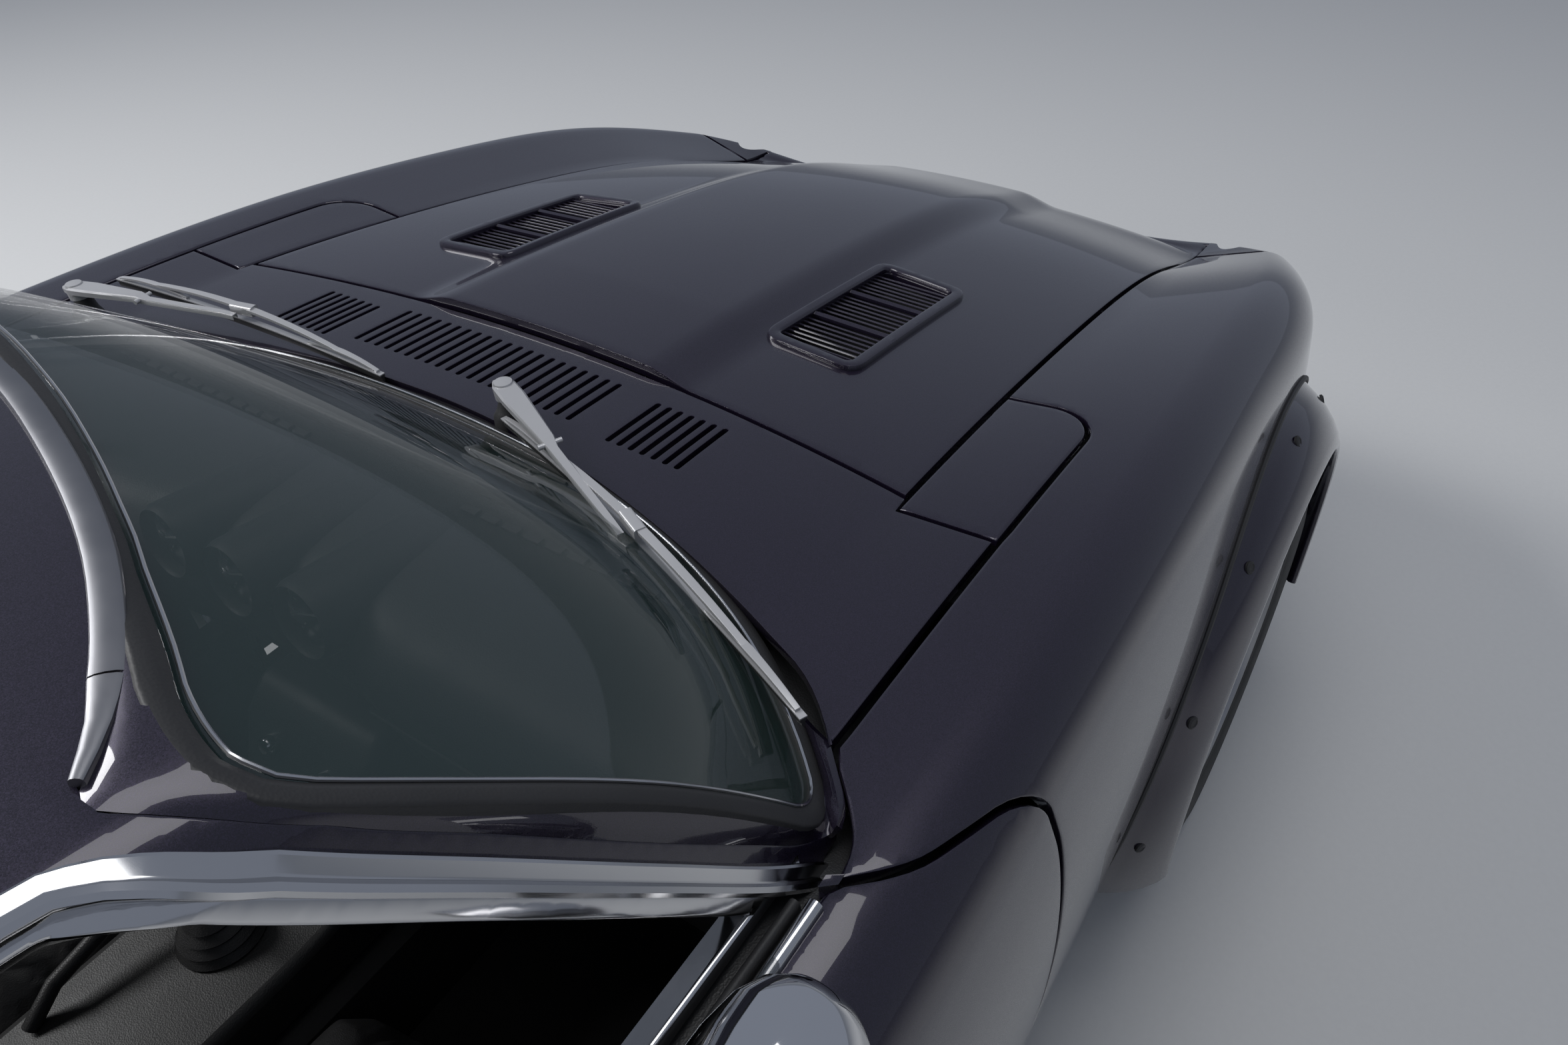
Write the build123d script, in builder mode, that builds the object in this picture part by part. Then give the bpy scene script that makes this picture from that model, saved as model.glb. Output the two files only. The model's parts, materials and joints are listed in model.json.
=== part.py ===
"""Two-seat fastback sports car with a long bonnet, bolted wheel-arch flares and an opening tailgate.

Millimetres. +X is forward, +Y the car's left, +Z up. The origin is on the ground, in the middle of
the car's length and width. Outer panels are cut from two bodies, the lower body and the greenhouse,
which are lofted through cross-sections of lines and arcs.
"""

import os
from math import cos, radians, sin

from build123d import *

os.makedirs("parts", exist_ok=True)

# Driving dimensions
wheelbase = 2305.0
nose_reach = 815.0  # front axle to the front bumper's foremost point
tail_reach = 995.0  # rear axle to the rear bumper's rearmost point
tyre_radius = 310.0
tyre_width = 208.0
rim_radius = 190.0
track_half = 735.0  # car's middle plane to a wheel's middle plane
panel_gap = 5.5
door_gap = 7.0
skin = 24.0  # thickness of the outer panels
bonnet_thickness = 22.0
pillar_depth = 38.0  # screen pillars and header, measured along the car
roof_thickness = 30.0
lid_thickness = 8.0
seat_clearance = 0.3  # between a closed panel and the buffer or rim it rests on
rim_width = 12.0  # the ledge under the edge of a small lid
glass_thickness = 5.0

front_axle_x = (wheelbase + tail_reach - nose_reach) / 2
rear_axle_x = front_axle_x - wheelbase
axle_z = tyre_radius
FAR = 1500.0  # a reach that is past the car's side, top or bottom


def ahead(distance, axle="front"):
    """The x of a place that lies so far ahead of the front or the rear axle."""
    return (front_axle_x if axle == "front" else rear_axle_x) + distance


# Lower body sections: axle, distance ahead of it; half width and height of the bottom edge, of the
# widest line and of the shoulder corner; the shoulder's radius; half width and height of the line
# where bonnet and wing meet; height on the middle plane
LOWER_SECTIONS = [
    ("front", 735, 380, 300, 430, 480, 400, 604, 30, 300, 608, 628),
    ("front", 690, 480, 265, 590, 500, 560, 652, 40, 430, 622, 655),
    ("front", 600, 560, 240, 690, 520, 665, 705, 50, 495, 648, 692),
    ("front", 350, 700, 215, 762, 570, 735, 795, 75, 515, 736, 780),
    ("front", 0, 745, 205, 795, 600, 760, 862, 85, 528, 821, 852),
    ("front", -350, 760, 200, 808, 610, 770, 900, 85, 531, 876, 893),
    ("front", -620, 765, 200, 812, 610, 775, 912, 85, 532, 902, 912),
    ("front", -1200, 765, 200, 815, 610, 772, 918, 85, 532, 908, 916),
    ("rear", 555, 765, 200, 815, 620, 768, 926, 85, 532, 915, 925),
    ("rear", 0, 755, 215, 812, 640, 755, 945, 90, 532, 938, 948),
    ("rear", -495, 720, 300, 775, 650, 705, 940, 80, 500, 938, 948),
    ("rear", -905, 640, 380, 700, 650, 640, 903, 60, 450, 908, 914),
]

# Greenhouse sections: axle, distance ahead of it; half width at its foot; half width and height of
# the roof's corner; the corner's radius; height on the middle plane
GREENHOUSE_SECTIONS = [
    ("front", -560, 702, 604, 1180, 50, 1215),
    ("front", -1250, 702, 574, 1214, 55, 1256),
    ("front", -1550, 702, 567, 1238, 60, 1286),
    ("rear", 355, 700, 562, 1214, 62, 1262),
    ("rear", -45, 692, 560, 1122, 60, 1174),
    ("rear", -395, 664, 560, 1004, 50, 1060),
    ("rear", -850, 600, 540, 886, 15, 908),
]
greenhouse_foot_z = 820.0

# Windscreen surface: height, x ahead of the front axle on the middle plane, and how much further
# back it lies at the half width that follows
WINDSCREEN_LINES = [(860.0, -624.0, 196.0), (1300.0, -1153.0, 245.0)]
windscreen_half_width = 700.0

# Lines where the panels meet
bonnet_half_rear = 530.0
bonnet_half_front = 498.0
bonnet_corner_x = ahead(-548)
bonnet_middle_x = ahead(-505)
bonnet_front_x = ahead(600)
bonnet_low_z = 600.0
lid_half_width = 640.0
lid_front_x = ahead(-300)
lid_rear_x = ahead(-572)
lid_corner_radius = 60.0
wing_rear_x = ahead(-758)
door_front_x = wing_rear_x - door_gap
door_rear_x = ahead(530, "rear")
door_rear_lean = 0.28  # how far the door's rear face runs forward for each mm inwards
door_bottom_z = 250.0
door_inner_half = 655.0
glass_slot_z = 650.0  # bottom of the slot that the wound-down door glass stands in
cabin_half = 640.0
widest_half = 815.0
cowl_half = 637.0
drip_half = 546.0
nose_split_x = ahead(612)
tail_split_x = ahead(-872, "rear")

# Front end
lamp_radius = 89.0
lamp_tunnel_radius = 95.0
lamp_y = 570.0
lamp_z = 570.0
lamp_face = 545.0  # ahead of the front axle
grille_half = 360.0
grille_low = 372.0
grille_high = 548.0
grille_bars = 7

# Vent grilles in the bonnet
vent_front_x = ahead(-66)
vent_rear_x = ahead(-340)
vent_inner_y = 236.0
vent_outer_y = 346.0
vent_frame = 17.0
vent_slats = 14

flare_low_z = 190.0
jack_pad_z = 194.0  # underside of the jacking pads
plate_half = 255.0
plate_low = 605.0
plate_high = 715.0

# Wheels and what carries them
well_radius = 376.0
floor_top = 226.0
tower_z = 742.0
lower_joint = (672.0, 212.0)  # half width and height of the front lower ball joints
upper_joint = (530.0, 790.0)  # the same for the strut's upper end, on the steering axis
stub_radius = 22.0
stub_end = 775.0
spokes = 8
spoke_width = 26.0
column_tilt = 18.0
column_end = 50.0  # below the steering wheel's centre, along the column
shaft_radius = 17.0


def plane_points(points, axle="front"):
    """Side-view points, each (distance ahead of the axle, height), as places in the car."""
    return [(ahead(dx, axle), z) for dx, z in points]


def emit(label, part):
    """Labels a finished piece and writes its file."""
    part.label = label
    export_step(part, f"parts/{label}.step")
    PIECES[label] = part


PIECES = {}


def lower_loft(inset):
    """The lower body as a solid, its surface moved inwards by inset."""
    with BuildPart() as body:
        for axle, dx, yb, zb, yw, zw, ys, zs, r, yh, zh, zc in LOWER_SECTIONS:
            end_shift = 0.0
            if dx == LOWER_SECTIONS[0][1] and axle == "front":
                end_shift = -inset
            if dx == LOWER_SECTIONS[-1][1] and axle == "rear":
                end_shift = inset
            with BuildSketch(Plane.YZ.offset(ahead(dx, axle) + end_shift)) as outline:
                corner = (ys - inset, zs - inset)
                with BuildLine():
                    Line((-(yb - inset), zb + inset), (yb - inset, zb + inset))
                    for side in (1, -1):
                        widest = (side * (yw - inset), zw)
                        TangentArc(widest, (side * (yb - inset), zb + inset), tangent=(0, -1))
                        TangentArc(widest, (side * corner[0], corner[1]), tangent=(0, 1))
                        Line((side * corner[0], corner[1]), (side * yh, zh - inset))
                    ThreePointArc((yh, zh - inset), (0, zc - inset), (-yh, zh - inset))
                make_face()
                shoulders = [
                    v for v in outline.vertices()
                    if abs(abs(v.X) - corner[0]) < 0.1 and abs(v.Y - corner[1]) < 0.1
                ]
                fillet(shoulders, max(r - inset, 5.0))
        loft()
    return body.part


def greenhouse_loft(inset):
    """The greenhouse as a solid with no windscreen rake, its surface moved inwards by inset."""
    with BuildPart() as house:
        for axle, dx, yf, yr, zr, r, zc in GREENHOUSE_SECTIONS:
            end_shift = inset if (axle, dx) == GREENHOUSE_SECTIONS[-1][:2] else 0.0
            with BuildSketch(Plane.YZ.offset(ahead(dx, axle) + end_shift)) as outline:
                corner = (yr - inset, zr - inset)
                with BuildLine():
                    Line((-(yf - inset), greenhouse_foot_z), (yf - inset, greenhouse_foot_z))
                    for side in (1, -1):
                        Line((side * (yf - inset), greenhouse_foot_z), (side * corner[0], corner[1]))
                    ThreePointArc(corner, (0, zc - inset), (-corner[0], corner[1]))
                make_face()
                corners = [
                    v for v in outline.vertices()
                    if abs(abs(v.X) - corner[0]) < 0.1 and abs(v.Y - corner[1]) < 0.1
                ]
                fillet(corners, max(r - inset, 5.0))
        loft()
    return house.part


def ahead_of_windscreen(shift):
    """Everything ahead of the windscreen's surface, once that is moved forward by shift."""
    with BuildPart() as cutter:
        for z, middle, sweep in WINDSCREEN_LINES:
            with BuildSketch(Plane.XY.offset(z)):
                x = ahead(middle) + shift
                half = windscreen_half_width
                with BuildLine():
                    ThreePointArc((x - sweep, half), (x, 0), (x - sweep, -half))
                    Polyline((x - sweep, -half), (x - sweep, -half - 200), (ahead(300), -half - 200),
                             (ahead(300), half + 200), (x - sweep, half + 200), (x - sweep, half))
                make_face()
        loft(ruled=True)
    return cutter.part


outer = lower_loft(0.0)
inner = lower_loft(skin)
house_outer = greenhouse_loft(0.0)
house_inner = greenhouse_loft(roof_thickness)
screen_front = ahead_of_windscreen(0.0)


def prism_side(points, near, far):
    """A block whose outline is drawn in the side view, from y near to y far."""
    with BuildPart() as block:
        with BuildSketch(Plane.XZ.offset(-near)):
            with BuildLine():
                Polyline(*points, close=True)
            make_face()
        extrude(amount=-(far - near))
    return block.part


def prism_plan(points, low, high):
    """A block whose outline is drawn in the plan view, from z low to z high."""
    with BuildPart() as block:
        with BuildSketch(Plane.XY.offset(low)):
            with BuildLine():
                Polyline(*points, close=True)
            make_face()
        extrude(amount=high - low)
    return block.part


def block(x0, x1, y0, y1, z0, z1):
    """A plain box between two corners."""
    with BuildPart() as made:
        with Locations(((x0 + x1) / 2, (y0 + y1) / 2, (z0 + z1) / 2)):
            Box(abs(x1 - x0), abs(y1 - y0), abs(z1 - z0))
    return made.part


def both_sides(half):
    """A left-hand piece with its mirror image, as one part."""
    with BuildPart() as pair:
        add(half)
        mirror(about=Plane.XZ)
    return pair.part


def rod(x0, y0, z0, x1, y1, z1, radius):
    """A round bar between two points."""
    start = Vector(x0, y0, z0)
    run = Vector(x1, y1, z1) - start
    with BuildPart() as bar:
        with BuildSketch(Plane(origin=start, z_dir=run)):
            Circle(radius)
        extrude(amount=run.length)
    return bar.part


def steer_point(side, z):
    """The point of the steering axis at a height."""
    (y0, z0), (y1, z1) = lower_joint, upper_joint
    return front_axle_x, side * (y0 + (y1 - y0) * (z - z0) / (z1 - z0)), z


# Regions of the panels

def bonnet_outline(grow, front_x=ahead(900)):
    """The bonnet's plan shape, grown by grow below, on its rear and on its sides."""
    with BuildPart() as region:
        with BuildSketch(Plane.XY.offset(bonnet_low_z - grow)):
            with BuildLine():
                rear = (bonnet_corner_x - grow, bonnet_half_rear + grow)
                ThreePointArc(rear, (bonnet_middle_x - grow, 0), (rear[0], -rear[1]))
                front = bonnet_half_front + grow
                Polyline(rear, (bonnet_front_x, front), (front_x, front),
                         (front_x, -front), (bonnet_front_x, -front), (rear[0], -rear[1]))
            make_face()
        extrude(amount=900)
    return region.part


def lid_outline(grow):
    """The left inspection lid's plan shape, grown by grow at its outer side, front and rear."""
    with BuildPart() as region:
        with BuildSketch(Plane.XY.offset(600)) as face:
            with BuildLine():
                inner_y = bonnet_half_rear + panel_gap + 1.0 - grow
                outer_y = lid_half_width + grow
                Polyline((lid_rear_x - grow, inner_y), (lid_front_x + grow, inner_y),
                         (lid_front_x + grow, outer_y), (lid_rear_x - grow, outer_y), close=True)
            make_face()
            fillet(face.vertices().group_by(Axis.X)[-1].sort_by(Axis.Y)[-1], lid_corner_radius)
        extrude(amount=600)
    return region.part


DOOR_CORNER = [(-793, 868), (-858, 892)]  # side view of the door's rounded upper front corner
DOOR_UPPER = [  # side view of the door frame's upper edge, from the screen pillar's foot rearwards
    (-965, 908), (-1185, 1118), (-1262, 1168), (-1360, 1188), (-1600, 1196), (-1860, 1188)]
DOOR_WINDOW = [
    (-1012, 922), (-1200, 1096), (-1272, 1140), (-1365, 1158), (-1600, 1166), (-1672, 1164),
    (-1704, 922)]
QUARTER_WINDOW = [(560, 934), (520, 1158), (400, 1148), (225, 1104), (30, 1010), (-40, 946)]


def door_region(grow):
    """The left door's side-view shape, grown by grow all round, with its leaning rear face."""
    with BuildPart() as region:
        with BuildSketch(Plane.XZ.offset(grow - 540)):
            with BuildLine():
                x0 = door_front_x + grow
                top = [(x, z + grow) for x, z in plane_points(DOOR_UPPER)]
                start = (x0, 720)
                bend, crest = [(x + grow, z + grow) for x, z in plane_points(DOOR_CORNER)]
                ThreePointArc(start, bend, crest)
                rear_x = door_rear_x - 300
                Polyline(crest, (top[0][0] + grow, top[0][1]), *top[1:], (rear_x, top[-1][1]),
                         (rear_x, door_bottom_z - grow), (x0, door_bottom_z - grow), start)
            make_face()
        extrude(amount=-500)
        lean = door_rear_lean
        with BuildSketch(Plane.XY):
            with BuildLine():
                Polyline((door_rear_x - grow, widest_half),
                         (door_rear_x - grow - 100 * lean, widest_half + 100),
                         (ahead(0), widest_half + 100), (ahead(0), 300),
                         (door_rear_x - grow + lean * (widest_half - 300), 300), close=True)
            make_face()
        extrude(amount=FAR, mode=Mode.INTERSECT)
    return region.part


def window_left(points, axle):
    """A block through the car's left side whose outline is a window's."""
    return prism_side(plane_points(points, axle), 380, 900)


hatch_front_x = ahead(320, "rear")
hatch_rear_x = ahead(-735, "rear")
hatch_half_front = 470.0
hatch_half_rear = 505.0


def hatch_region(grow):
    """The tailgate's plan shape, grown by grow all round."""
    return prism_plan([
        (hatch_front_x + grow, hatch_half_front + grow),
        (hatch_rear_x - grow, hatch_half_rear + grow),
        (hatch_rear_x - grow, -hatch_half_rear - grow),
        (hatch_front_x + grow, -hatch_half_front - grow)], 700, 1500)


hatch_window = [
    (ahead(225, "rear"), 395), (ahead(-520, "rear"), 440),
    (ahead(-520, "rear"), -440), (ahead(225, "rear"), -395)]

arch_radius = 356.0


def arch_cutter(x, radius, y0):
    """Cylinders through both sides at an axle, open downwards."""
    with BuildPart() as cut:
        with BuildSketch(Plane.XZ.offset(-y0)):
            with Locations((x, axle_z)):
                Circle(radius)
        extrude(amount=-400)
        mirror(about=Plane.XZ)
    return cut.part



def lamp_tunnels(radius):
    """Cylinders along the car at both headlamps, from behind the lamps to ahead of the nose."""
    with BuildPart() as tunnel:
        with BuildSketch(Plane.YZ.offset(ahead(lamp_face - 90))):
            with Locations((lamp_y, lamp_z), (-lamp_y, lamp_z)):
                Circle(radius)
        extrude(amount=500)
    return tunnel.part


lamp_span = block(ahead(lamp_face - 90), ahead(900), -FAR, FAR, 300, 800)
front_arch = arch_cutter(front_axle_x, arch_radius, 473)
rear_arch = arch_cutter(rear_axle_x, arch_radius, 560)

# The whole body's skin: what lies between its outer and its inner surface
with BuildPart() as whole_outer:
    add(house_outer)
    add(screen_front, mode=Mode.SUBTRACT)
    add(outer)

with BuildPart() as whole_inner:
    add(house_inner)
    add(ahead_of_windscreen(-pillar_depth), mode=Mode.SUBTRACT)
    add(inner)

with BuildPart() as shell:
    add(whole_outer.part)
    add(whole_inner.part, mode=Mode.SUBTRACT)
    add(front_arch, mode=Mode.SUBTRACT)
    add(rear_arch, mode=Mode.SUBTRACT)

with BuildPart() as lower_shell:
    add(shell.part)
    add(outer, mode=Mode.INTERSECT)

with BuildPart() as upper_shell:
    add(shell.part)
    add(outer, mode=Mode.SUBTRACT)

def trimmed(base, keep=(), cut=()):
    """A base solid with only what lies in every keep region and in no cut region."""
    with BuildPart() as made:
        add(base)
        for region in keep:
            add(region, mode=Mode.INTERSECT)
        for region in cut:
            add(region, mode=Mode.SUBTRACT)
    return made.part


def across(x0, x1, half, z0, z1):
    """A box over both sides of the middle plane."""
    return block(x0, x1, -half, half, z0, z1)


# Regions shared by several panels
lid_seat = outer.moved(Location((0, 0, -lid_thickness - seat_clearance)))
hatch_seat = whole_inner.part.moved(Location((0, 0, -seat_clearance)))
bonnet_zone = bonnet_outline(0.0)
bonnet_cut = bonnet_outline(panel_gap)
lid_zone = lid_outline(0.0)
lids_cut = both_sides(trimmed(lid_outline(panel_gap), [], [lid_seat]))
lids_hole = both_sides(lid_outline(-rim_width))
doors_cut = both_sides(door_region(door_gap))
door_zone = door_region(0.0)
hatch_zone = hatch_region(0.0)
hatch_cut = hatch_region(panel_gap)
cowl_zone = across(ahead(-1000), ahead(-480), cowl_half, 700, 1000)

# Bonnet: skin, raised middle and the two vent openings
BULGE = [  # ahead of the front axle; half width at its foot and on top; height of the bonnet there
    (-500, 235, 165, 915), (-200, 235, 165, 901), (150, 228, 160, 858), (450, 215, 150, 778),
    (700, 200, 140, 662)]
with BuildPart() as bulge:
    for dx, foot, crown, z in BULGE:
        with BuildSketch(Plane.YZ.offset(ahead(dx))):
            with BuildLine():
                Polyline((-foot, z - 60), (-foot, z - 14), (-crown, z + 6), (crown, z + 6),
                         (foot, z - 14), (foot, z - 60), close=True)
            make_face()
    loft()

vent_hole = prism_plan([
    (vent_front_x, vent_inner_y), (vent_front_x - 12, vent_outer_y),
    (vent_rear_x - 12, vent_outer_y), (vent_rear_x, vent_inner_y)], 700, 1100)
vent_ring = prism_plan([
    (vent_front_x + vent_frame, vent_inner_y - vent_frame),
    (vent_front_x + vent_frame - 12, vent_outer_y + vent_frame),
    (vent_rear_x - vent_frame - 12, vent_outer_y + vent_frame),
    (vent_rear_x - vent_frame, vent_inner_y - vent_frame)], 700, 1100)

under_bonnet = outer.moved(Location((0, 0, -bonnet_thickness)))
under_gap = outer.moved(Location((0, 0, -bonnet_thickness - 14.0)))
bonnet_seat = outer.moved(Location((0, 0, -bonnet_thickness - seat_clearance)))
with BuildPart() as bonnet:
    add(outer)
    add(bonnet_zone, mode=Mode.INTERSECT)
    add(bulge.part)
    add(bonnet_zone, mode=Mode.INTERSECT)
    add(under_bonnet, mode=Mode.SUBTRACT)
    add(both_sides(vent_hole), mode=Mode.SUBTRACT)
emit("bonnet", bonnet.part)

# Vent grilles: a raised frame round each opening, with slats across it
vent_band = trimmed(outer.moved(Location((0, 0, 7))), [vent_ring], [vent_hole, outer, bulge.part])
with BuildPart() as vents:
    add(vent_band)
    pitch = (vent_front_x - vent_rear_x) / vent_slats
    slat_zone = trimmed(outer, [vent_hole], [outer.moved(Location((0, 0, -14)))])
    for i in range(vent_slats):
        x = vent_rear_x - 8 + pitch * (i + 0.5)
        add(trimmed(slat_zone, [block(x - 3, x + 3, 200, 400, 700, 1000)]))
emit("bonnet_vents", both_sides(vents.part))

# Inspection lids beside the bonnet
under_lid = outer.moved(Location((0, 0, -lid_thickness)))
lid = trimmed(outer, [lid_zone], [under_lid])
emit("inspection_lid_left", lid)
with BuildPart() as lid_right:
    add(lid)
    mirror(about=Plane.XZ, mode=Mode.REPLACE)
emit("inspection_lid_right", lid_right.part)

# Front wings, with the piece that runs back over each door's front corner
wing_zone = across(ahead(-1000), nose_split_x, FAR, 150, FAR)
behind_wing = across(ahead(-1100), wing_rear_x, FAR, 0, 320)
wings = trimmed(
    lower_shell, [wing_zone],
    [bonnet_cut, lids_cut, lids_hole, doors_cut, cowl_zone, behind_wing,
     across(ahead(-1200), ahead(900), 500, 0, FAR), lamp_tunnels(lamp_tunnel_radius),
     across(ahead(-1200), ahead(-650), 600, 0, 320)])
emit("front_wings", wings)

# Cowl between bonnet and windscreen
under_screen = ahead_of_windscreen(-pillar_depth)
cowl = trimmed(lower_shell, [cowl_zone, under_screen], [bonnet_cut, lids_cut, lids_hole, doors_cut])
emit("cowl_panel", cowl)

# Nose with its grille mouth and the two lamp tunnels
with BuildPart() as nose:
    add(lower_shell)
    add(across(nose_split_x, ahead(900), FAR, 0, FAR), mode=Mode.INTERSECT)
    add(trimmed(lamp_tunnels(lamp_tunnel_radius), [outer, lamp_span]))
    add(trimmed(bonnet_cut, [], [under_gap]), mode=Mode.SUBTRACT)
    add(lamp_tunnels(lamp_radius), mode=Mode.SUBTRACT)
    add(across(ahead(690), ahead(900), grille_half, grille_low, grille_high), mode=Mode.SUBTRACT)
emit("nose_panel", nose.part)

# Grille: bars across the mouth and three uprights behind them
with BuildPart() as grille:
    for i in range(grille_bars):
        z = grille_low + (grille_high - grille_low) * (i + 0.5) / grille_bars
        add(across(ahead(712), ahead(722), grille_half, z - 4, z + 4))
    for y in (-240, 0, 240):
        add(block(ahead(702), ahead(712), y - 6, y + 6, grille_low, grille_high))
emit("grille", grille.part)

# Headlamps: a domed lens and a bowl in each tunnel
with BuildPart() as headlamps:
    with BuildSketch(Plane.XZ.offset(-lamp_y)):
        x = ahead(lamp_face)
        with BuildLine():
            Polyline((x, lamp_z + lamp_radius), (x - 60, lamp_z + lamp_radius), (x - 60, lamp_z), (x + 16, lamp_z))
            ThreePointArc((x + 16, lamp_z), (x + 12, lamp_z + lamp_radius / 2), (x, lamp_z + lamp_radius))
        make_face()
    revolve(axis=Axis((0, lamp_y, lamp_z), (1, 0, 0)))
    mirror(about=Plane.XZ)
emit("headlamps", headlamps.part)

# Small front lamps under the bumper
emit("front_lamps", both_sides(trimmed(block(ahead(640), ahead(728), 440, 560, 372, 414), [], [outer])))


def bumper(middle_x, end_x, half, thick, z0, z1, sign):
    """A bumper bar that is curved in the plan view, with its open side inwards."""
    with BuildPart() as bar:
        with BuildSketch(Plane.XY.offset(z0)):
            with BuildLine():
                ThreePointArc((end_x, half), (middle_x, 0), (end_x, -half))
                Line((end_x, -half), (end_x - sign * thick, -half))
                ThreePointArc((end_x - sign * thick, -half), (middle_x - sign * thick, 0), (end_x - sign * thick, half))
                Line((end_x - sign * thick, half), (end_x, half))
            make_face()
        extrude(amount=z1 - z0)
    return bar.part


with BuildPart() as front_bumper:
    add(bumper(ahead(nose_reach), ahead(752), 620, 22, 452, 542, 1))
    for side in (1, -1):
        add(trimmed(block(ahead(690), ahead(776), side * (grille_half + 20), side * (grille_half + 60), 470, 516),
                    [], [outer]))
emit("front_bumper", front_bumper.part)

with BuildPart() as rear_bumper:
    add(bumper(ahead(-tail_reach, "rear"), ahead(-940, "rear"), 700, 22, 500, 590, -1))
    for y in (-400, 400):
        add(trimmed(block(ahead(-970, "rear"), ahead(-880, "rear"), y - 20, y + 20, 520, 570), [], [outer]))
emit("rear_bumper", rear_bumper.part)

# Windscreen
screen_zone = prism_plan(
    [(ahead(-500), 668), (ahead(-850), 668), (ahead(-1222), 488), (ahead(-1178), 400),
     (ahead(-1112), 200), (ahead(-1078), 0), (ahead(-1112), -200), (ahead(-1178), -400),
     (ahead(-1222), -488), (ahead(-850), -668), (ahead(-500), -668)], 700, 1400)
screen_glass = trimmed(house_outer, [screen_zone, ahead_of_windscreen(-8.0)], [screen_front, outer])
emit("windscreen", screen_glass)

# Roof and side frames
quarter_holes = both_sides(window_left(QUARTER_WINDOW, "rear"))
above_lamps = across(hatch_front_x - 400, ahead(-1040), drip_half, 1172, 1400)
roof = trimmed(upper_shell, [above_lamps], [screen_zone, hatch_cut, doors_cut])
emit("roof_panel", roof)
side_frames = trimmed(upper_shell, [], [screen_zone, hatch_cut, doors_cut, above_lamps, quarter_holes])
emit("side_frames", side_frames)
house_glass = trimmed(house_outer, [], [greenhouse_loft(glass_thickness), screen_front, outer])
emit("quarter_windows", trimmed(house_glass, [quarter_holes]))

# Doors: whole thickness below the belt, a frame round the window above it
cabin_box = across(ahead(-600), door_rear_x - 100, door_inner_half, 0, greenhouse_foot_z + 500)
door_body = trimmed(outer, [door_zone], [cabin_box, house_outer])
frame_hole = prism_side(plane_points(DOOR_WINDOW), 380, 900)
with BuildPart() as door:
    add(door_body)
    add(trimmed(shell.part, [door_zone], [frame_hole, across(ahead(-600), door_rear_x - 100, FAR, 0, 845)]))
    add(trimmed(house_outer, [door_zone, block(ahead(-2000), ahead(-600), 400, 900, 820, 930)],
                [house_inner, screen_front, prism_side(plane_points([(-2000, 930), (-600, 930), (-600, 1300), (-2000, 1300)]), 300, 900)]))
    add(block(ahead(-1670), ahead(-1030), 700, 712, glass_slot_z, 950), mode=Mode.SUBTRACT)
emit("door_left", door.part)
with BuildPart() as door_right:
    add(door.part)
    mirror(about=Plane.XZ, mode=Mode.REPLACE)
emit("door_right", door_right.part)
glass = block(ahead(-1662), ahead(-1038), 703, 709, glass_slot_z + seat_clearance, 935)
emit("door_glass_left", glass)
with BuildPart() as glass_right:
    add(glass)
    mirror(about=Plane.XZ, mode=Mode.REPLACE)
emit("door_glass_right", glass_right.part)

# Rear quarters, tail and filler door


def filler_block(grow):
    """A block through the right side whose outline is the filler door's, grown by grow."""
    return block(ahead(-420, "rear") - grow, ahead(-270, "rear") + grow, -FAR, -500, 735 - grow, 865 + grow)


filler_zone = filler_block(0.0)
filler_rim = trimmed(filler_block(5.0), [], [lower_loft(lid_thickness + seat_clearance)])
filler_hole = filler_block(-rim_width)
quarters = trimmed(
    lower_shell, [across(ahead(-1000, "rear"), door_rear_x + 400, FAR, 0, FAR)],
    [doors_cut, hatch_cut, filler_rim, filler_hole, across(tail_split_x, ahead(-1000, "rear"), FAR, 0, FAR),
     across(ahead(-1000, "rear"), door_rear_x + 400, 600, 0, 400),
     across(ahead(0, "rear"), door_rear_x + 400, FAR, 0, door_bottom_z - door_gap)])
catch = (hatch_rear_x + 8, hatch_rear_x + 34)
half = hatch_half_rear
with BuildPart() as rear_quarters:
    add(quarters)
    for side in (1, -1):
        edge = side * (half + panel_gap + 1)
        add(trimmed(block(*catch, side * (half - 30), edge, 876, 1000), [hatch_seat]))
        add(trimmed(block(*catch, edge, side * (half + 50), 876, 1000), [outer.moved(Location((0, 0, -10)))]))
emit("rear_quarters", rear_quarters.part)
emit("fuel_filler_door", trimmed(outer, [filler_zone], [lower_loft(lid_thickness)]))
with BuildPart() as tail:
    add(trimmed(lower_shell, [across(tail_split_x, ahead(-1000, "rear"), FAR, 0, FAR)], [hatch_cut]))
    add(across(ahead(-909, "rear"), ahead(-900, "rear"), plate_half, plate_low, plate_high))
emit("tail_panel", tail.part)
lamps = trimmed(block(ahead(-925, "rear"), ahead(-850, "rear"), 330, 620, 690, 800), [], [outer])
emit("tail_lamps", both_sides(lamps))

# Tailgate and its glass
hatch_hole = prism_plan(hatch_window, 700, 1500)
emit("tailgate", trimmed(shell.part, [hatch_zone], [hatch_hole]))
emit("tailgate_glass", trimmed(house_glass, [hatch_zone, hatch_hole]))

# Sills
with BuildPart() as sills:
    add(trimmed(outer, [block(rear_axle_x + 360, wing_rear_x, 600, FAR, 0, door_bottom_z - door_gap)]))
    add(block(rear_axle_x + 520, wing_rear_x, 600, 648, 200, 320))
    add(block(ahead(-1320), ahead(-1220), 650, 710, jack_pad_z, 210))
emit("sills", both_sides(sills.part))

# Wheel-arch flares
FLARE = [  # distance from the wheel's axis, half width of the car there
    (350, 700), (350, 849), (361, 851), (385, 840), (410, 822), (428, 812), (436, 809), (436, 700)]


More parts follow.
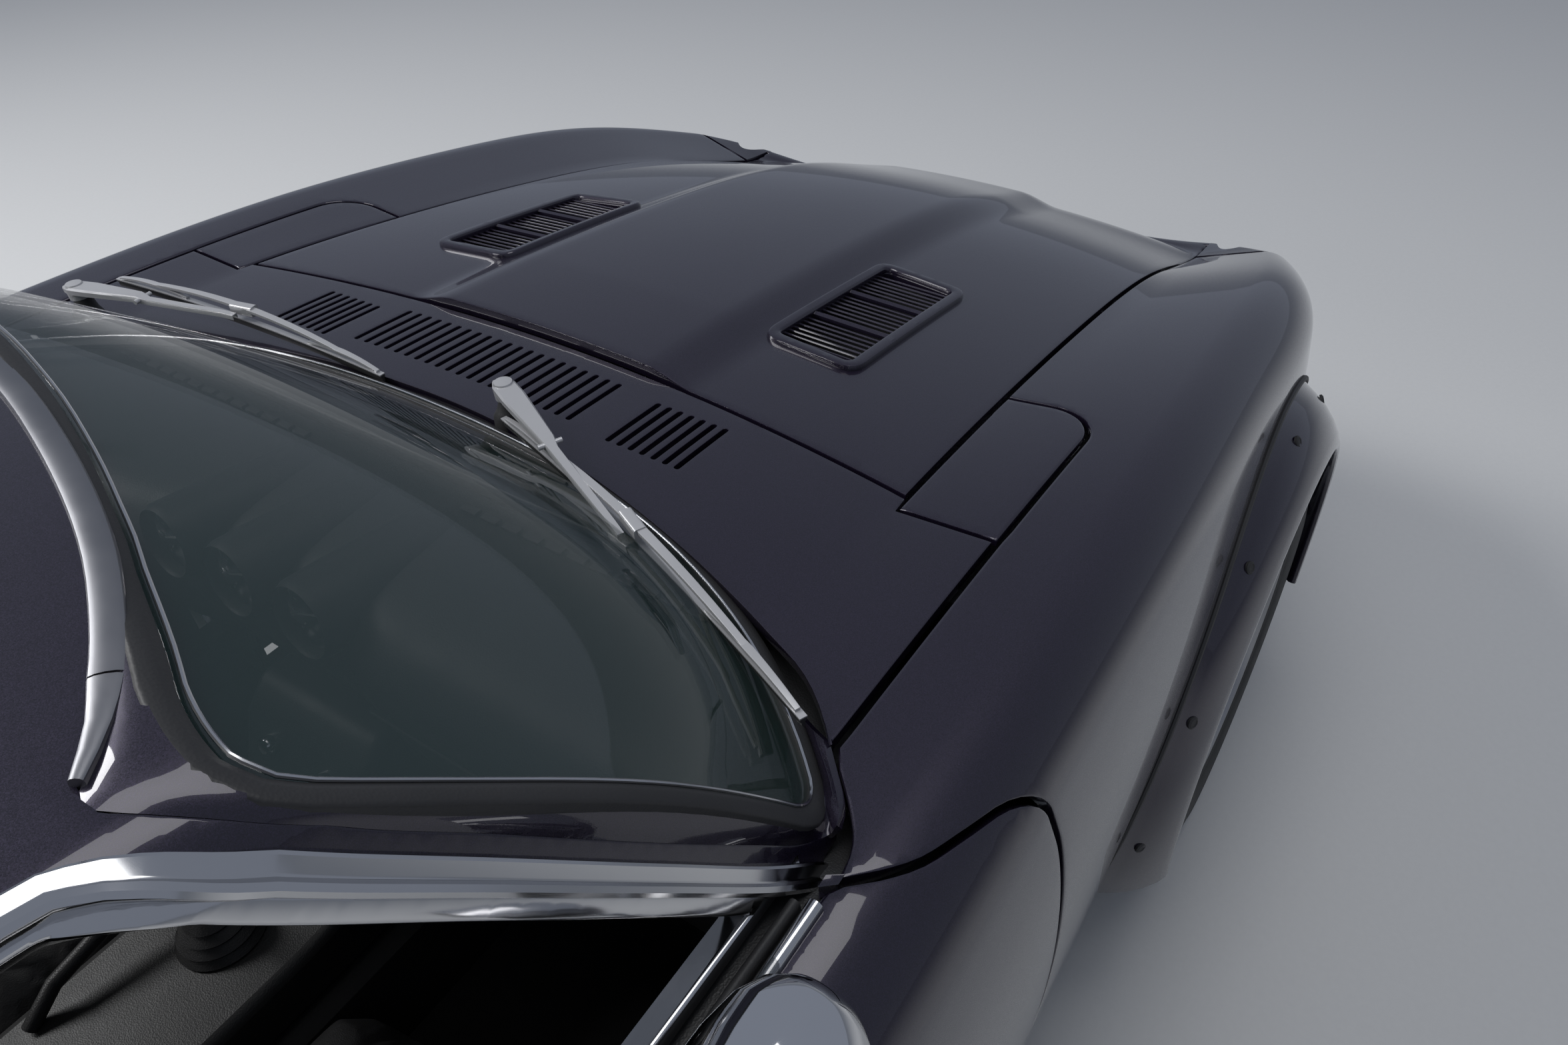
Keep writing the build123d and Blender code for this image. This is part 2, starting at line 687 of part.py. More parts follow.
def flare(x):
    with BuildPart() as ring:
        with BuildSketch(Plane.XY.offset(axle_z)):
            with BuildLine():
                Polyline(*[(x + radius, y) for radius, y in FLARE], close=True)
            make_face()
        revolve(axis=Axis((x, 0, axle_z), (0, 1, 0)))
        add(outer, mode=Mode.SUBTRACT)
        add(block(x - 500, x + 500, 600, 1000, -300, flare_low_z), mode=Mode.SUBTRACT)
        add(block(x - 500, x + 500, 600, 742, -300, FAR), mode=Mode.SUBTRACT)
    return ring.part


with BuildPart() as flares:
    add(flare(front_axle_x))
    add(flare(rear_axle_x))
    mirror(about=Plane.XZ)
emit("wheel_arch_flares", flares.part)

# Floor, bulkheads and the inner structure that joins them to the skin
with BuildPart() as floor_pan:
    add(across(ahead(410, "rear"), ahead(430, "rear"), 700, 222, 522))
    add(across(ahead(-915, "rear"), ahead(430, "rear"), 700, 500, 522))
    add(across(ahead(430, "rear"), ahead(-650), 130, 222, 380))
    add(across(ahead(-650), ahead(-630), 775, 222, 900))
    for side in (1, -1):
        add(block(ahead(-640), ahead(690), side * 452, side * 470, 240, 700))
        add(block(ahead(-70), ahead(70), side * 452, side * 612, tower_z, tower_z + 22))
        add(block(ahead(-70), ahead(70), side * 452, side * 470, 690, tower_z))
        add(block(ahead(-418, "rear"), ahead(418, "rear"), side * 480, side * 498, 222, 708))
        add(block(ahead(-418, "rear"), ahead(418, "rear"), side * 480, side * 775, 690, 708))
        for x in (ahead(400, "rear"), ahead(-418, "rear")):
            add(block(x, x + 18, side * 480, side * 775, 322, 708))
        add(block(door_rear_x + 20, door_rear_x + 60, side * 600, side * 648, 320, 840))
    add(across(ahead(640), ahead(660), 470, 300, 560))
    add(inner, mode=Mode.INTERSECT)
    add(trimmed(across(ahead(410, "rear"), ahead(-650), 600, 200, floor_top), [outer]))
    add(trimmed(bonnet_cut, [], [under_gap]), mode=Mode.SUBTRACT)
    for x in (front_axle_x, rear_axle_x):
        add(arch_cutter(x, well_radius, 500), mode=Mode.SUBTRACT)
    add(rod(rear_axle_x, -500, axle_z, rear_axle_x, 500, axle_z, 32), mode=Mode.SUBTRACT)
    add(both_sides(sills.part), mode=Mode.SUBTRACT)
    for side in (1, -1):
        add(trimmed(block(ahead(-525), ahead(-500), side * 452, side * 470, 690, 1000), [bonnet_seat]))
        add(block(door_rear_x + 25, door_rear_x + 50, side * 640, side * (door_inner_half - seat_clearance), 500, 560))
emit("floor_pan", floor_pan.part)

# Engine: one plain block with its gearbox
with BuildPart() as engine:
    add(across(ahead(-520), ahead(110), 165, 290, 700))
    add(across(ahead(-629), ahead(-520), 120, 290, 470))
emit("engine_block", engine.part)

# Front suspension: crossmember, lower arms and strut mounts
with BuildPart() as front_suspension:
    add(across(ahead(-60), ahead(60), 452, 230, 290))
    for side in (1, -1):
        add(rod(front_axle_x, side * 440, 245, front_axle_x, side * lower_joint[0], lower_joint[1], 13))
        add(rod(ahead(-150), side * 452, 258, front_axle_x, side * (lower_joint[0] - 30), lower_joint[1], 11))
        with Locations((front_axle_x, side * lower_joint[0], lower_joint[1])):
            Sphere(15)
        add(rod(*steer_point(side, tower_z - 12), *steer_point(side, tower_z + 8), 34))
    add(floor_pan.part, mode=Mode.SUBTRACT)
emit("front_suspension", front_suspension.part)

# Rear suspension: crossmember, final drive, half shafts, arms and hub carriers
with BuildPart() as rear_suspension:
    add(across(ahead(-50, "rear"), ahead(50, "rear"), 480, 220, 262))
    add(across(ahead(-110, "rear"), ahead(110, "rear"), 115, 240, 380))
    for side in (1, -1):
        add(block(ahead(-40, "rear"), ahead(40, "rear"), side * 400, side * 700, 196, 220))
        add(block(ahead(-45, "rear"), ahead(45, "rear"), side * 655, side * 700, 196, 395))
        add(rod(rear_axle_x, side * 110, axle_z, rear_axle_x, side * 660, axle_z, 14))
        add(rod(rear_axle_x, side * 690, axle_z, rear_axle_x, side * stub_end, axle_z, stub_radius))
emit("rear_suspension", rear_suspension.part)

# Front knuckles with their struts and stub axles
for label, side in (("knuckle_left", 1), ("knuckle_right", -1)):
    with BuildPart() as knuckle:
        add(block(ahead(-45), ahead(45), side * 655, side * 700, 236, 392))
        add(rod(*steer_point(side, lower_joint[1] + 17), *steer_point(side, 300), 8))
        add(rod(*steer_point(side, 300), *steer_point(side, tower_z - 20), 24))
        add(rod(front_axle_x, side * 690, axle_z, front_axle_x, side * stub_end, axle_z, stub_radius))
    emit(label, knuckle.part)

# Wheels: a rim of barrel, hub and spokes, and a tyre
TYRE = [(192, -96), (200, -103), (250, -104), (288, -98), (305, -84), (310, -66)]
with BuildPart() as tyre:
    with BuildSketch(Plane.XY):
        with BuildLine():
            Polyline(*TYRE, *[(r, -y) for r, y in reversed(TYRE)], close=True)
        make_face()
    revolve(axis=Axis.Y)

with BuildPart() as rim:
    with BuildSketch(Plane.XY):
        with BuildLine():
            Polyline((192, -96), (192, 96), (180, 96), (176, 30), (176, -30), (180, -96), close=True)
        make_face()
    revolve(axis=Axis.Y)
    with BuildSketch(Plane.XZ.offset(-15)):
        Circle(56)
        with PolarLocations(112, spokes):
            Rectangle(136, spoke_width)
    extrude(amount=-35)
    with BuildSketch(Plane.XZ.offset(-15)):
        Circle(stub_radius + 0.5)
    extrude(amount=-28, mode=Mode.SUBTRACT)

for end, x in (("front", front_axle_x), ("rear", rear_axle_x)):
    for name, side in (("left", 1), ("right", -1)):
        place = Location((x, side * track_half, axle_z), (0, 0, 0 if side > 0 else 180))
        emit(f"rim_{end}_{name}", rim.part.moved(place))
        emit(f"tyre_{end}_{name}", tyre.part.moved(place))

# Seats
SEAT = [(-1085, 300), (-1080, 400), (-1140, 432), (-1480, 392), (-1600, 800), (-1640, 985), (-1700, 1000),
        (-1730, 970), (-1690, 760), (-1610, 330), (-1560, 300)]
for label, y in (("seat_left", 365), ("seat_right", -365)):
    with BuildPart() as seat:
        add(prism_side(plane_points(SEAT), y - 235, y + 235))
        for rail_y in (y - 165, y + 165):
            add(block(ahead(-1540), ahead(-1120), rail_y - 15, rail_y + 15, floor_top, 300))
    emit(label, seat.part)

# Dashboard, console and steering column
DASH = [(-650, 866), (-900, 868), (-962, 850), (-986, 800), (-955, 690), (-900, 640), (-650, 640)]
CONSOLE = [(-880, 660), (-955, 660), (-1040, 470), (-1520, 462), (-1520, 380), (-880, 380)]
wheel_centre = Vector(ahead(-1150), 365, 850)
column_run = Vector(-cos(radians(column_tilt)), 0, sin(radians(column_tilt)))
with BuildPart() as dashboard:
    add(prism_side(plane_points(DASH), -638, 638))
    add(prism_side(plane_points(CONSOLE), -108, 108))
    for y in (-112, 0, 112):
        add(rod(ahead(-780), y, 862, ahead(-955), y, 862, 42))
    add(rod(*(wheel_centre - column_run * 225), *(wheel_centre - column_run * column_end), 30))
    add(rod(*(wheel_centre - column_run * 70), *(wheel_centre - column_run * (column_end - 5)),
            shaft_radius + seat_clearance), mode=Mode.SUBTRACT)
emit("dashboard", dashboard.part)

with BuildPart() as steering_wheel:
    tilted = Plane(origin=wheel_centre, z_dir=column_run)
    with Locations(tilted):
        Torus(185, 14)
        with Locations((0, 0, -14)):
            Cylinder(40, 30)
        with Locations((0, 0, -46)):
            Cylinder(shaft_radius, 40)
        with PolarLocations(105, 3, start_angle=30):
            Box(160, 26, 8)
emit("steering_wheel", steering_wheel.part)

# Wipers: pivot, arm and blade, lying on the screen's foot
WIPERS = [((-770, 576, 905), (-707, 325, 936), (-722, 560, 942), (-692, 90, 930)),
          ((-664, -100, 905), (-784, -366, 939), (-690, -120, 930), (-878, -612, 948))]
with BuildPart() as wipers:
    for pivot, middle, inner_end, outer_end in WIPERS:
        foot = (ahead(pivot[0]), pivot[1], pivot[2])
        head = (ahead(pivot[0]), pivot[1], pivot[2] + 38)
        add(rod(*foot, *head, 11))
        add(rod(*head, ahead(middle[0]), *middle[1:], 5))
        add(rod(ahead(inner_end[0]), *inner_end[1:], ahead(outer_end[0]), *outer_end[1:], 5))
    add(whole_outer.part, mode=Mode.SUBTRACT)
emit("wipers", wipers.part)

# Exhaust under the floor
with BuildPart() as exhaust:
    add(rod(ahead(-600), 200, 174, ahead(-150, "rear"), 200, 174, 24))
    add(rod(ahead(-150, "rear"), 200, 174, ahead(-565, "rear"), 200, 240, 24))
    add(block(ahead(-860, "rear"), ahead(-560, "rear"), 130, 270, 200, 300))
    add(rod(ahead(-860, "rear"), 200, 240, ahead(-985, "rear"), 200, 240, 22))
    for x in (ahead(-800), ahead(-1500)):
        add(block(x - 10, x + 10, 192, 208, 190, 200))
    add(block(ahead(-760, "rear"), ahead(-740, "rear"), 192, 208, 300, 500))
emit("exhaust", exhaust.part)

# Door mirrors
for label, side in (("mirror_left", 1), ("mirror_right", -1)):
    with BuildPart() as mirror_part:
        add(rod(ahead(-1070), side * 738, 880, ahead(-1095), side * 752, 955, 9))
        with Locations((ahead(-1108), side * 762, 985)):
            Cylinder(50, 90, rotation=(0, 90, 0))
        add(outer, mode=Mode.SUBTRACT)
    emit(label, mirror_part.part)

for name, piece in PIECES.items():
    box = piece.bounding_box()
    low = ", ".join(f"{v:.0f}" for v in (box.min.X, box.min.Y, box.min.Z))
    high = ", ".join(f"{v:.0f}" for v in (box.max.X, box.max.Y, box.max.Z))
    print(f"{name:24s} {piece.is_valid} {len(piece.solids()):3d} {piece.volume / 1e6:8.2f}  [{low}] [{high}]")
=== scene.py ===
"""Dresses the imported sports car: painted panels, glass, bright work, cabin, wheels and stage.

Metres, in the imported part's frame: +X forward, +Y the car's left, +Z up, origin on the ground.
"""

import json
from math import cos, pi, radians, sin, tau

import bmesh
import bpy
import numpy as np
from bpy.props import FloatProperty, FloatVectorProperty, IntProperty, PointerProperty
from mathutils import Matrix, Vector
from mathutils.geometry import delaunay_2d_cdt

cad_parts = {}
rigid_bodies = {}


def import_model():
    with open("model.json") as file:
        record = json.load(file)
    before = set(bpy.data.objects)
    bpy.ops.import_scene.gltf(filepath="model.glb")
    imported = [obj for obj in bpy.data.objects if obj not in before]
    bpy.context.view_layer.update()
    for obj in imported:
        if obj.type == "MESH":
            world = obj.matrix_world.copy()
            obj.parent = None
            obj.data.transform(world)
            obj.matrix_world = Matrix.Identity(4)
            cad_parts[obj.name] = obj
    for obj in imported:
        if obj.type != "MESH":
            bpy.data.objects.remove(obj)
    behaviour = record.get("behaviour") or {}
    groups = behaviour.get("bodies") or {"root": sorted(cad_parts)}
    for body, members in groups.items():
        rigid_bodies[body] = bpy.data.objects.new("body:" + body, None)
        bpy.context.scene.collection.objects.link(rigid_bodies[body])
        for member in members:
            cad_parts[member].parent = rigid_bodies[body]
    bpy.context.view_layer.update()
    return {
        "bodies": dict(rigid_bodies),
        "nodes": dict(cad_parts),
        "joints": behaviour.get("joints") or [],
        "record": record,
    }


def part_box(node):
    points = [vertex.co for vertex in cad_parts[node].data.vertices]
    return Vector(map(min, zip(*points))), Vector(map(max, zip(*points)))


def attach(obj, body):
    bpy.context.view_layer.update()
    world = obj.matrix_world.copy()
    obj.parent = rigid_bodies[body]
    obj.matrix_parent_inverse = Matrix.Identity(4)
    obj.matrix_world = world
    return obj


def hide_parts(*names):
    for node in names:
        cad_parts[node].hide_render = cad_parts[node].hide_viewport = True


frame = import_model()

bl_info = {
    "name": "Sports Car Dress",
    "version": (1, 0, 0),
    "blender": (4, 5, 0),
    "location": "View3D > Sidebar > Sports Car",
    "description": "Builds the visible pieces of the sports car around its packed frame",
    "category": "Object",
}

# ---- Places from the frame

FRONT_X, TRACK_Y, AXLE_Z = sum(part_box("tyre_front_left"), Vector()) / 2
REAR_X = sum(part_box("tyre_rear_left"), Vector()).x / 2
FORWARD, BACK, LEFT, UP = (1, 0, 0), (-1, 0, 0), (0, 1, 0), (0, 0, 1)
SEAT_Y = 0.365  # the middle of the driver's place


def ahead(distance_mm):
    """x of a place so many millimetres ahead of the front axle."""
    return FRONT_X + distance_mm / 1000


def by_rear(distance_mm):
    """x of a place so many millimetres ahead of the rear axle."""
    return REAR_X + distance_mm / 1000


def pairs(*values):
    """Points (a, b) in metres from their numbers in millimetres."""
    return [(round(a / 1000, 7), round(b / 1000, 7)) for a, b in zip(values[::2], values[1::2])]


def triples(*values):
    """Points (a, b, c) in metres from their numbers in millimetres."""
    return [tuple(round(v / 1000, 7) for v in values[i:i + 3]) for i in range(0, len(values), 3)]


# ---- The body's surfaces, from the same sections as the solids

# Distance ahead of the axle; half width and height of the bottom edge, of the widest line and of
# the shoulder; the shoulder's radius; half width and height where bonnet and wing meet; middle height
LOWER_ROWS = [
    ("front", 735, 380, 300, 430, 480, 400, 604, 30, 300, 608, 628),
    ("front", 690, 480, 265, 590, 500, 560, 652, 40, 430, 622, 655),
    ("front", 600, 560, 240, 690, 520, 665, 705, 50, 495, 648, 692),
    ("front", 350, 700, 215, 762, 570, 735, 795, 75, 515, 736, 780),
    ("front", 0, 745, 205, 795, 600, 760, 862, 85, 528, 821, 852),
    ("front", -350, 760, 200, 808, 610, 770, 900, 85, 531, 876, 893),
    ("front", -620, 765, 200, 812, 610, 775, 912, 85, 532, 902, 912),
    ("front", -1200, 765, 200, 815, 610, 772, 918, 85, 532, 908, 916),
    ("rear", 555, 765, 200, 815, 620, 768, 926, 85, 532, 915, 925),
    ("rear", 0, 755, 215, 812, 640, 755, 945, 90, 532, 938, 948),
    ("rear", -495, 720, 300, 775, 650, 705, 940, 80, 500, 938, 948),
    ("rear", -905, 640, 380, 700, 650, 640, 903, 60, 450, 908, 914),
]
# Distance ahead of the axle; half width at the foot; half width and height of the roof's corner;
# the corner's radius; middle height
HOUSE_ROWS = [
    ("front", -560, 702, 604, 1180, 50, 1215),
    ("front", -1250, 702, 574, 1214, 55, 1256),
    ("front", -1550, 702, 567, 1238, 60, 1286),
    ("rear", 355, 700, 562, 1214, 62, 1262),
    ("rear", -45, 692, 560, 1122, 60, 1174),
    ("rear", -395, 664, 560, 1004, 50, 1060),
    ("rear", -850, 600, 540, 886, 15, 908),
]
HOUSE_FOOT = 0.820
# The edge of the windscreen's left half: millimetres ahead of the front axle, half width, height
GLASS_HEADER = [(-1070, 0, 1232), (-1074, 70, 1231), (-1080, 131, 1230), (-1088, 183, 1229),
    (-1096, 230, 1227), (-1106, 278, 1225), (-1118, 316, 1223), (-1131, 355, 1221), (-1145, 386, 1219),
    (-1158, 413, 1218), (-1174, 442, 1216), (-1193, 472, 1214), (-1211, 498, 1213)]
GLASS_SIDE = [(-1207, 544, 1205), (-1196, 556, 1198), (-1175, 570, 1183), (-1113, 596, 1122),
    (-1029, 626, 1032), (-975, 645, 974), (-941, 656, 937)]
GLASS_BASE = [(-901, 640, 906), (-868, 612, 904), (-832, 572, 904), (-800, 520, 905), (-754, 400, 909),
    (-706, 200, 913), (-690, 0, 915)]


class Spline:
    """Natural cubic curves through the rows of a table, read at any place along the car."""

    def __init__(self, rows):
        table = np.array([[(ahead if row[0] == "front" else by_rear)(row[1]), *(v / 1000 for v in row[2:])]
            for row in rows])
        table = table[np.argsort(table[:, 0])]
        self.x, self.y = table[:, 0], table[:, 1:]
        n = len(self.x)
        gap = np.diff(self.x)
        a = np.eye(n)
        b = np.zeros((n, self.y.shape[1]))
        for i in range(1, n - 1):
            a[i, i - 1:i + 2] = gap[i - 1], 2 * (gap[i - 1] + gap[i]), gap[i]
            b[i] = 6 * ((self.y[i + 1] - self.y[i]) / gap[i] - (self.y[i] - self.y[i - 1]) / gap[i - 1])
        self.bend = np.linalg.solve(a, b)

    def __call__(self, x):
        x = np.clip(np.asarray(x, float), self.x[0], self.x[-1])
        i = np.clip(np.searchsorted(self.x, x) - 1, 0, len(self.x) - 2)
        gap = (self.x[i + 1] - self.x[i])[:, None]
        s = (self.x[i + 1] - x)[:, None]
        t = (x - self.x[i])[:, None]
        m0, m1, y0, y1 = self.bend[i], self.bend[i + 1], self.y[i], self.y[i + 1]
        value = (m0 * s**3 + m1 * t**3) / (6 * gap) + (y0 / gap - m0 * gap / 6) * s + (y1 / gap - m1
            * gap / 6) * t
        return value.T


LOWER = Spline(LOWER_ROWS)
HOUSE = Spline(HOUSE_ROWS)


def between(u, low, high):
    """How far u is from low to high, from 0 to 1."""
    return np.clip((u - low) / (high - low), 0, 1)


def arc_point(cy, cz, radius, a0, a1, t):
    """A point on an arc, t of the way round."""
    angle = a0 + (a1 - a0) * t
    return cy + radius * np.cos(angle), cz + radius * np.sin(angle)


def lower_section(x, u):
    """Half width and height on the lower body's section at x, for u from 0 on top to 1 at the bottom."""
    yb, zb, yw, zw, ys, zs, r, yh, zh, zc = LOWER(x)
    top_r = (yh**2 + (zc - zh)**2) / (2 * (zc - zh))
    top_end = np.arcsin(yh / top_r)
    t = between(u, 0, 0.42) * top_end
    y, z = top_r * np.sin(t), zc - top_r + top_r * np.cos(t)
    big = ((yw - ys)**2 + (zs - zw)**2) / (2 * (yw - ys))
    oy = yw - big
    length = np.hypot(ys - yh, zs - zh)
    dy, dz = (ys - yh) / length, (zs - zh) / length
    ny, nz = -dz, dy
    # Fillet centre: r below the line and big - r from the side arc's centre
    py, pz = yh - ny * r - oy, zh - nz * r - zw
    half = py * dy + pz * dz
    run = -half + np.sqrt(np.maximum(half**2 - (py**2 + pz**2 - (big - r)**2), 0))
    fy, fz = py + oy + dy * run, pz + zw + dz * run
    t1y, t1z = fy + ny * r, fz + nz * r
    a0 = np.arctan2(nz, ny)
    a1 = np.arctan2(fz - zw, fy - oy)
    line = between(u, 0.42, 0.5)
    y = np.where(u > 0.42, yh + (t1y - yh) * line, y)
    z = np.where(u > 0.42, zh + (t1z - zh) * line, z)
    cy, cz = arc_point(fy, fz, r, a0, a1, between(u, 0.5, 0.62))
    y, z = np.where(u > 0.5, cy, y), np.where(u > 0.5, cz, z)
    cy, cz = arc_point(oy, zw, big, a1, 0 * a1, between(u, 0.62, 0.8))
    y, z = np.where(u > 0.62, cy, y), np.where(u > 0.62, cz, z)
    low = ((yw - yb)**2 + (zw - zb)**2) / (2 * (yw - yb))
    a2 = -np.arcsin(np.clip((zw - zb) / low, -1, 1))
    cy, cz = arc_point(yw - low, zw, low, 0 * a2, a2, between(u, 0.8, 1))
    y, z = np.where(u > 0.8, cy, y), np.where(u > 0.8, cz, z)
    return y, z


def house_section(x, u):
    """Half width and height on the greenhouse's section at x, for u from 0 on top to 1 at its foot."""
    yf, yr, zr, r, zc = HOUSE(x)
    top_r = (yr**2 + (zc - zr)**2) / (2 * (zc - zr))
    oz = zc - top_r
    length = np.hypot(yr - yf, zr - HOUSE_FOOT)
    dy, dz = (yr - yf) / length, (zr - HOUSE_FOOT) / length
    ny, nz = dz, -dy
    py, pz = yf - ny * r, HOUSE_FOOT - nz * r - oz
    half = py * dy + pz * dz
    run = -half + np.sqrt(np.maximum(half**2 - (py**2 + pz**2 - (top_r - r)**2), 0))
    fy, fz = py + dy * run, pz + oz + dz * run
    a0 = np.arctan2(fz - oz, fy)
    a1 = np.arctan2(nz, ny)
    t = between(u, 0, 0.5)
    y, z = arc_point(0, oz, top_r, pi / 2 + 0 * a0, a0, t)
    cy, cz = arc_point(fy, fz, r, a0, a1, between(u, 0.5, 0.6))
    y, z = np.where(u > 0.5, cy, y), np.where(u > 0.5, cz, z)
    line = between(u, 0.6, 1)
    sy, sz = fy + ny * r, fz + nz * r
    y = np.where(u > 0.6, sy + (yf - sy) * line, y)
    z = np.where(u > 0.6, sz + (HOUSE_FOOT - sz) * line, z)
    return y, z


GIRTH = 1.3  # metres of girth that one unit of u stands for, roughly


def signed(section):
    """A surface over (x, u * GIRTH), on both sides of the middle plane."""

    def surface(p):
        u = p[:, 1] / GIRTH
        y, z = section(p[:, 0], np.abs(u))
        return np.stack([p[:, 0], np.where(u < 0, -y, y), z], 1)

    return surface


lower_surface = signed(lower_section)
house_surface = signed(house_section)


def screen_terms(y, z):
    """The powers of y and z that the windscreen's fit weighs."""
    y, z = np.asarray(y, float)**2, np.asarray(z, float) - 1.05
    return np.stack([np.ones_like(y + z), z + 0 * y, z * z + 0 * y, y + 0 * z, y * z, y * y + 0 * z,
        y * y * z, y**3 + 0 * z], -1)


GLASS_POINTS = np.array([(ahead(x), y / 1000, z / 1000) for x, y, z in GLASS_HEADER + GLASS_SIDE
    + GLASS_BASE])
SCREEN_FIT = np.linalg.lstsq(screen_terms(GLASS_POINTS[:, 1], GLASS_POINTS[:, 2]), GLASS_POINTS[:, 0],
    rcond=None)[0]


def screen_x(y, z):
    """The windscreen's x over (y, z): the even surface that fits its edge."""
    return screen_terms(y, z) @ SCREEN_FIT


def screen_surface(p):
    """The windscreen over (y, z)."""
    return np.stack([screen_x(p[:, 0], p[:, 1]), p[:, 0], p[:, 1]], 1)


SAMPLES = np.linspace(0, 1, 700)


def top_half(x, section=lower_section):
    """A section from its middle out to its widest point: places round it, half widths, heights."""
    y, z = section(np.full(len(SAMPLES), x), SAMPLES)
    stop = int(np.argmax(y)) + 1
    return SAMPLES[:stop], y[:stop], z[:stop]


def side_half(x, section=lower_section):
    """A section from its highest point down: places round it, half widths, heights."""
    y, z = section(np.full(len(SAMPLES), x), SAMPLES)
    start = int(np.argmax(z))
    return SAMPLES[start:], y[start:], z[start:]


def on_top(points, section=lower_section):
    """Domain points for plan points (x, y)."""
    found = []
    for x, y in points:
        u, yy, _ = top_half(x, section)
        found.append((x, np.sign(y) * np.interp(abs(y), yy, u) * GIRTH))
    return found


def on_side(points, section=lower_section):
    """Domain points for side-view points (x, z), on the left."""
    found = []
    for x, z in points:
        u, _, zz = side_half(x, section)
        found.append((x, np.interp(-z, -zz, u) * GIRTH))
    return found


def side_y(x, z):
    """The body's half width at a height on its side."""
    _, yy, zz = side_half(x)
    return float(np.interp(-z, -zz, yy))


def top_z(x, y, section=lower_section):
    """The height at a plan point."""
    _, yy, zz = top_half(x, section)
    return float(np.interp(abs(y), yy, zz))


def place(points):
    """Domain points for places (x, y, z) that lie near the lower body, on the left."""
    u = np.linspace(0, 1, 2400)
    found = []
    for x, y, z in points:
        yy, zz = lower_section(np.full(len(u), x), u)
        found.append((x, u[int(np.argmin((yy - y)**2 + (zz - z)**2))] * GIRTH))
    return found


# ---- Outlines

def dense(points, step):
    """A closed polyline with points no further apart than step."""
    points = [np.array(p, float) for p in points]
    result = []
    for a, b in zip(points, points[1:] + points[:1]):
        n = max(1, int(np.ceil(np.linalg.norm(b - a) / step)))
        result += [a + (b - a) * i / n for i in range(n)]
    return result


def rounded(points, radius, steps=6):
    """A polygon with its corners rounded."""
    points = [np.array(p, float) for p in points]
    result = []
    for i, corner in enumerate(points):
        before, after = points[i - 1] - corner, points[(i + 1) % len(points)] - corner
        la, lb = np.linalg.norm(before), np.linalg.norm(after)
        cut = min(radius, la * 0.48, lb * 0.48)
        a, b = corner + before / la * cut, corner + after / lb * cut
        for t in np.linspace(0, 1, steps):
            result.append((1 - t)**2 * a + 2 * t * (1 - t) * corner + t**2 * b)
    return result


def arc_between(a, middle, b, n=24):
    """Points on the parabola through three plan points, the middle one at y = 0."""
    (x0, y0), (xm, _), (_, y1) = a, middle, b
    return [(xm + (x0 - xm) * (y / y0)**2, y) for y in np.linspace(y0, y1, n)]


def moved(line, shift, axis):
    """A line moved sideways, towards the positive end of one axis."""
    line = np.array(line)
    if shift:
        way = np.gradient(line, axis=0)
        way /= np.linalg.norm(way, axis=1)[:, None]
        side = np.stack([-way[:, 1], way[:, 0]], 1)
        side[side[:, axis] < 0] *= -1
        line = line + side * shift
    return [tuple(p) for p in line]


def area_of(points):
    """An outline's area, negative when it runs clockwise."""
    p = np.array(points)
    q = np.roll(p, -1, 0)
    return (p[:, 0] * q[:, 1] - q[:, 0] * p[:, 1]).sum() / 2


def inward(points, hole=False):
    """Unit directions into the material at each outline point, longer at corners."""
    p = np.array(points)
    d = np.roll(p, -1, 0) - np.roll(p, 1, 0)
    n = np.stack([-d[:, 1], d[:, 0]], 1)
    n /= np.linalg.norm(n, axis=1)[:, None]
    if (area_of(points) < 0) != hole:
        n = -n
    edge = np.roll(p, -1, 0) - p
    edge /= np.linalg.norm(edge, axis=1)[:, None]
    turn = (edge * np.roll(edge, 1, 0)).sum(1)
    return n / np.sqrt(np.clip((1 + turn) / 2, 0.3, 1))[:, None]


def inside(points, polygon):
    """Which points lie within an outline."""
    p, q = np.array(points), np.array(polygon)
    r = np.roll(q, -1, 0)
    hit = np.zeros(len(p), bool)
    for (x0, y0), (x1, y1) in zip(q, r):
        if y0 != y1:
            cross = (y0 > p[:, 1]) != (y1 > p[:, 1])
            hit ^= cross & (p[:, 0] < (x1 - x0) * (p[:, 1] - y0) / (y1 - y0) + x0)
    return hit


def link(mesh_name, verts, faces):
    """A new mesh object in the scene."""
    mesh = bpy.data.meshes.new(mesh_name)
    mesh.from_pydata([tuple(v) for v in verts], [], [tuple(f) for f in faces])
    mesh.update()
    obj = bpy.data.objects.new(mesh_name, mesh)
    bpy.context.scene.collection.objects.link(obj)
    return obj


